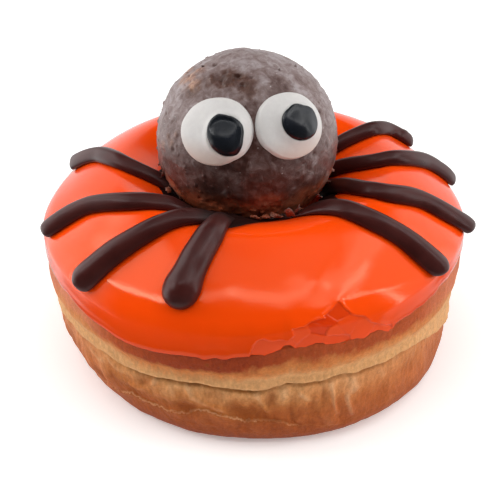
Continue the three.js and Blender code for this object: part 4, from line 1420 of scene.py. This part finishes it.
studio = {
    "cameraDistance": 300.0,
    "cameraElevation": 31.5,
    "target": (-1.0, 0.0, 22.4),
    "focalPixels": 1296.0,
    "framePixels": 500.0,
    "shift": (-0.008, 0.0),
    # Name, place, what it faces and size in mm, and how bright the panel's face is
    "lights": [
        ("overheadPanel", (0, 60, 800), (0, 60, 0), (2020, 800), 1.78),
        ("frontPanel", (0, -470, 800), (0, -470, 0), (2020, 115), 4.4),
        ("leftPanel", (-860, 210, 270), (0, 0, 30), (620, 420), 5.6),
        ("rightPanel", (900, -40, 250), (0, 0, 30), (560, 400), 5.8),
    ],
    # What the glossy parts mirror: soft boxes, white walls and their bright edges round a dark front,
    # as the turn and rise of the middle, the half sizes and their softness in degrees, how much one
    # end leans, and how bright it is
    "mirrored": {
        "ceiling": ((0, 90), (400, 27), (1, 2), 0, 0.17),
        "ceilingFront": ((20, 72), (112, 11), (24, 5), 0, 0.16),
        "frontStrip": ((14, 61), (36, 3.4), (6, 1.2), 0.03, 1.75),
        "leftBox": ((-90, 46), (25, 14), (6, 3), 0.1, 1.1),
        "leftBoxEdge": ((-76, 32), (21, 1.6), (5, 1.6), 0.36, 6.5),
        "leftStripEnd": ((-30, 56), (19, 3.6), (7, 2), 0.3, 1.25),
        "leftWall": ((-119, 6), (18, 38), (6, 6), 0, 1.05),
        "leftWallEdge": ((-97, 0), (3, 9), (3, 4), 0, 1.6),
        "leftWallTop": ((-92, 18), (8, 8), (6, 4), 0, 0.5),
        "backLeftBox": ((-132, 41), (12, 5), (6, 3), 0, 0.7),
        "leftWallFade": ((-92, -3), (14, 28), (12, 6), 0, 0.65),
        "rightBoxTop": ((102, 57), (24, 3.5), (8, 2), 0, 0.6),
        "rightBox": ((84, 50), (40, 7), (8, 3), -0.1, 1.2),
        "rightBoxMiddle": ((76, 48), (16, 1.8), (4, 1.6), -0.26, 2.4),
        "rightBoxEdge": ((71, 38), (12, 2.0), (4, 1.6), -0.8, 4.0),
        "rightWallEdge": ((77, 10), (2, 20), (2.5, 8), 0, 4.2),
        "rightWall": ((98, 2), (22, 40), (3, 6), 0, 0.5),
        "rightWallFar": ((120, 4), (14, 32), (4, 6), 0, 0.7),
        "backWall": ((180, -4), (48, 38), (12, 4), 0, 0.55),
        "nearFloor": ((0, -90), (400, 46), (1, 5), 0, 0.35),
        "frontRight": ((44, -14), (28, 46), (6, 8), 0, 0.04),
    },
    "mirroredGain": 1.6,
    "paper": [(-3000, -3000), (3000, -3000), (3000, 6000), (-3000, 6000)],
    "floorGlow": 0.3,             # it lies on a light table
}


def buildStudio():
    scene = bpy.context.scene
    paper, tree, shader = newMaterial("studioPaper", {
        "Base Color": "#fbfbfa", "Roughness": 0.9, "IOR": 1.4,
        "Emission Color": "#ffffff", "Emission Strength": studio["floorGlow"]})
    grain = addNode(tree, "TexNoise", {"Scale": 900, "Detail": 2})
    bump = addNode(tree, "Bump", {"Strength": 0.05, "Distance": 0.0001, "Height": grain})
    supply(shader, {"Normal": bump})
    mesh = bpy.data.meshes.new("studioFloor")
    corners = [(x * millimetre, y * millimetre, 0) for x, y in studio["paper"]]
    mesh.from_pydata(corners, [], [(0, 1, 2, 3)])
    mesh.materials.append(paper)
    floor = bpy.data.objects.new("studioFloor", mesh)
    scene.collection.objects.link(floor)
    floor.visible_glossy = False       # glossy parts mirror the surround instead, as set out in it

    for name, place, aim, size, bright in studio["lights"]:
        lamp = bpy.data.lights.new(name, "AREA")
        lamp.shape = "RECTANGLE"
        lamp.size, lamp.size_y = (side * millimetre for side in size)
        lamp.energy = bright * math.pi * lamp.size * lamp.size_y
        holder = bpy.data.objects.new(name, lamp)
        place, aim = np.array(place, float), np.array(aim, float)
        holder.location = place * millimetre
        holder.rotation_euler = pointAt(aim - place)
        holder.visible_glossy = False
        scene.collection.objects.link(holder)

    buildSurround()

    camera = bpy.data.cameras.new("camera")
    camera.sensor_width = 36
    camera.lens = studio["focalPixels"] / studio["framePixels"] * camera.sensor_width
    camera.shift_x, camera.shift_y = studio["shift"]
    camera.clip_start, camera.clip_end = 0.01, 20
    holder = bpy.data.objects.new("camera", camera)
    rise = math.radians(studio["cameraElevation"])
    back = np.array([0, -math.cos(rise), math.sin(rise)])
    holder.location = (np.array(studio["target"]) + back * studio["cameraDistance"]) * millimetre
    holder.rotation_euler = pointAt(-back)
    scene.collection.objects.link(holder)
    scene.camera = holder
    scene.view_settings.view_transform = "Standard"
    print("studio", len(studio["lights"]), "lights")


# The room round the doughnut, seen in its glossy parts alone
def buildSurround():
    world = bpy.data.worlds.new("studioSurround")
    bpy.context.scene.world = world
    world.use_nodes = True
    world.cycles_visibility.diffuse = False
    tree = world.node_tree
    x, y, z = addNode(tree, "SeparateXYZ", {0: addNode(tree, "TexCoord")}).node.outputs
    toFront = addNode(tree, "Math", {"operation": "MULTIPLY", 0: y, 1: -1})
    turned = addNode(tree, "Math", {"operation": "ARCTAN2", 0: x, 1: toFront})
    raised = addNode(tree, "Math", {"operation": "ARCSINE", 0: z})
    turn, rise = (addNode(tree, "Math", {"operation": "DEGREES", 0: angle}) for angle in (turned, raised))
    total = None
    for (atTurn, atRise), halves, softs, lean, bright in studio["mirrored"].values():
        fromMiddle = addNode(tree, "Math", {"operation": "SUBTRACT", 0: turn, 1: atTurn})
        across = addNode(tree, "Math", {"operation": "WRAP", 0: fromMiddle, 1: 180, 2: -180})
        leaning = addNode(tree, "Math", {"operation": "MULTIPLY_ADD", 0: across, 1: -lean, 2: rise})
        up = addNode(tree, "Math", {"operation": "SUBTRACT", 0: leaning, 1: atRise})
        share = None
        for offset, half, soft in zip((across, up), halves, softs):
            size = addNode(tree, "Math", {"operation": "ABSOLUTE", 0: offset})
            inside = addNode(tree, "MapRange", {
                "interpolation_type": "SMOOTHSTEP", "Value": size, "From Min": half + soft,
                "From Max": half - soft, "To Max": 1 if share is None else bright})
            if share is not None:
                inside = addNode(tree, "Math", {"operation": "MULTIPLY", 0: share, 1: inside})
            share = inside
        total = share if total is None else addNode(tree, "Math", {
            "operation": "ADD", 0: total, 1: share})
    strength = addNode(tree, "Math", {"operation": "MULTIPLY", 0: total, 1: studio["mirroredGain"]})
    supply(tree.nodes["Background"], {"Color": "#ffffff", "Strength": strength})


def pointAt(way):
    return Vector(way).to_track_quat("-Z", "Y").to_euler()


buildStudio()
buildDough(friedDoughMaterial())
buildIcing(dippedIcingMaterial())
cake = glazedCakeMaterial()
buildBall(cake)
buildFlakes(cake)
buildEyes(pressedSugarMaterial(), blackSugarMaterial())
buildLegs(pipedChocolateMaterial("pipedDarkChocolate", 0.32))
buildPool(pipedChocolateMaterial("pooledChocolateAndShadow", 0.06))
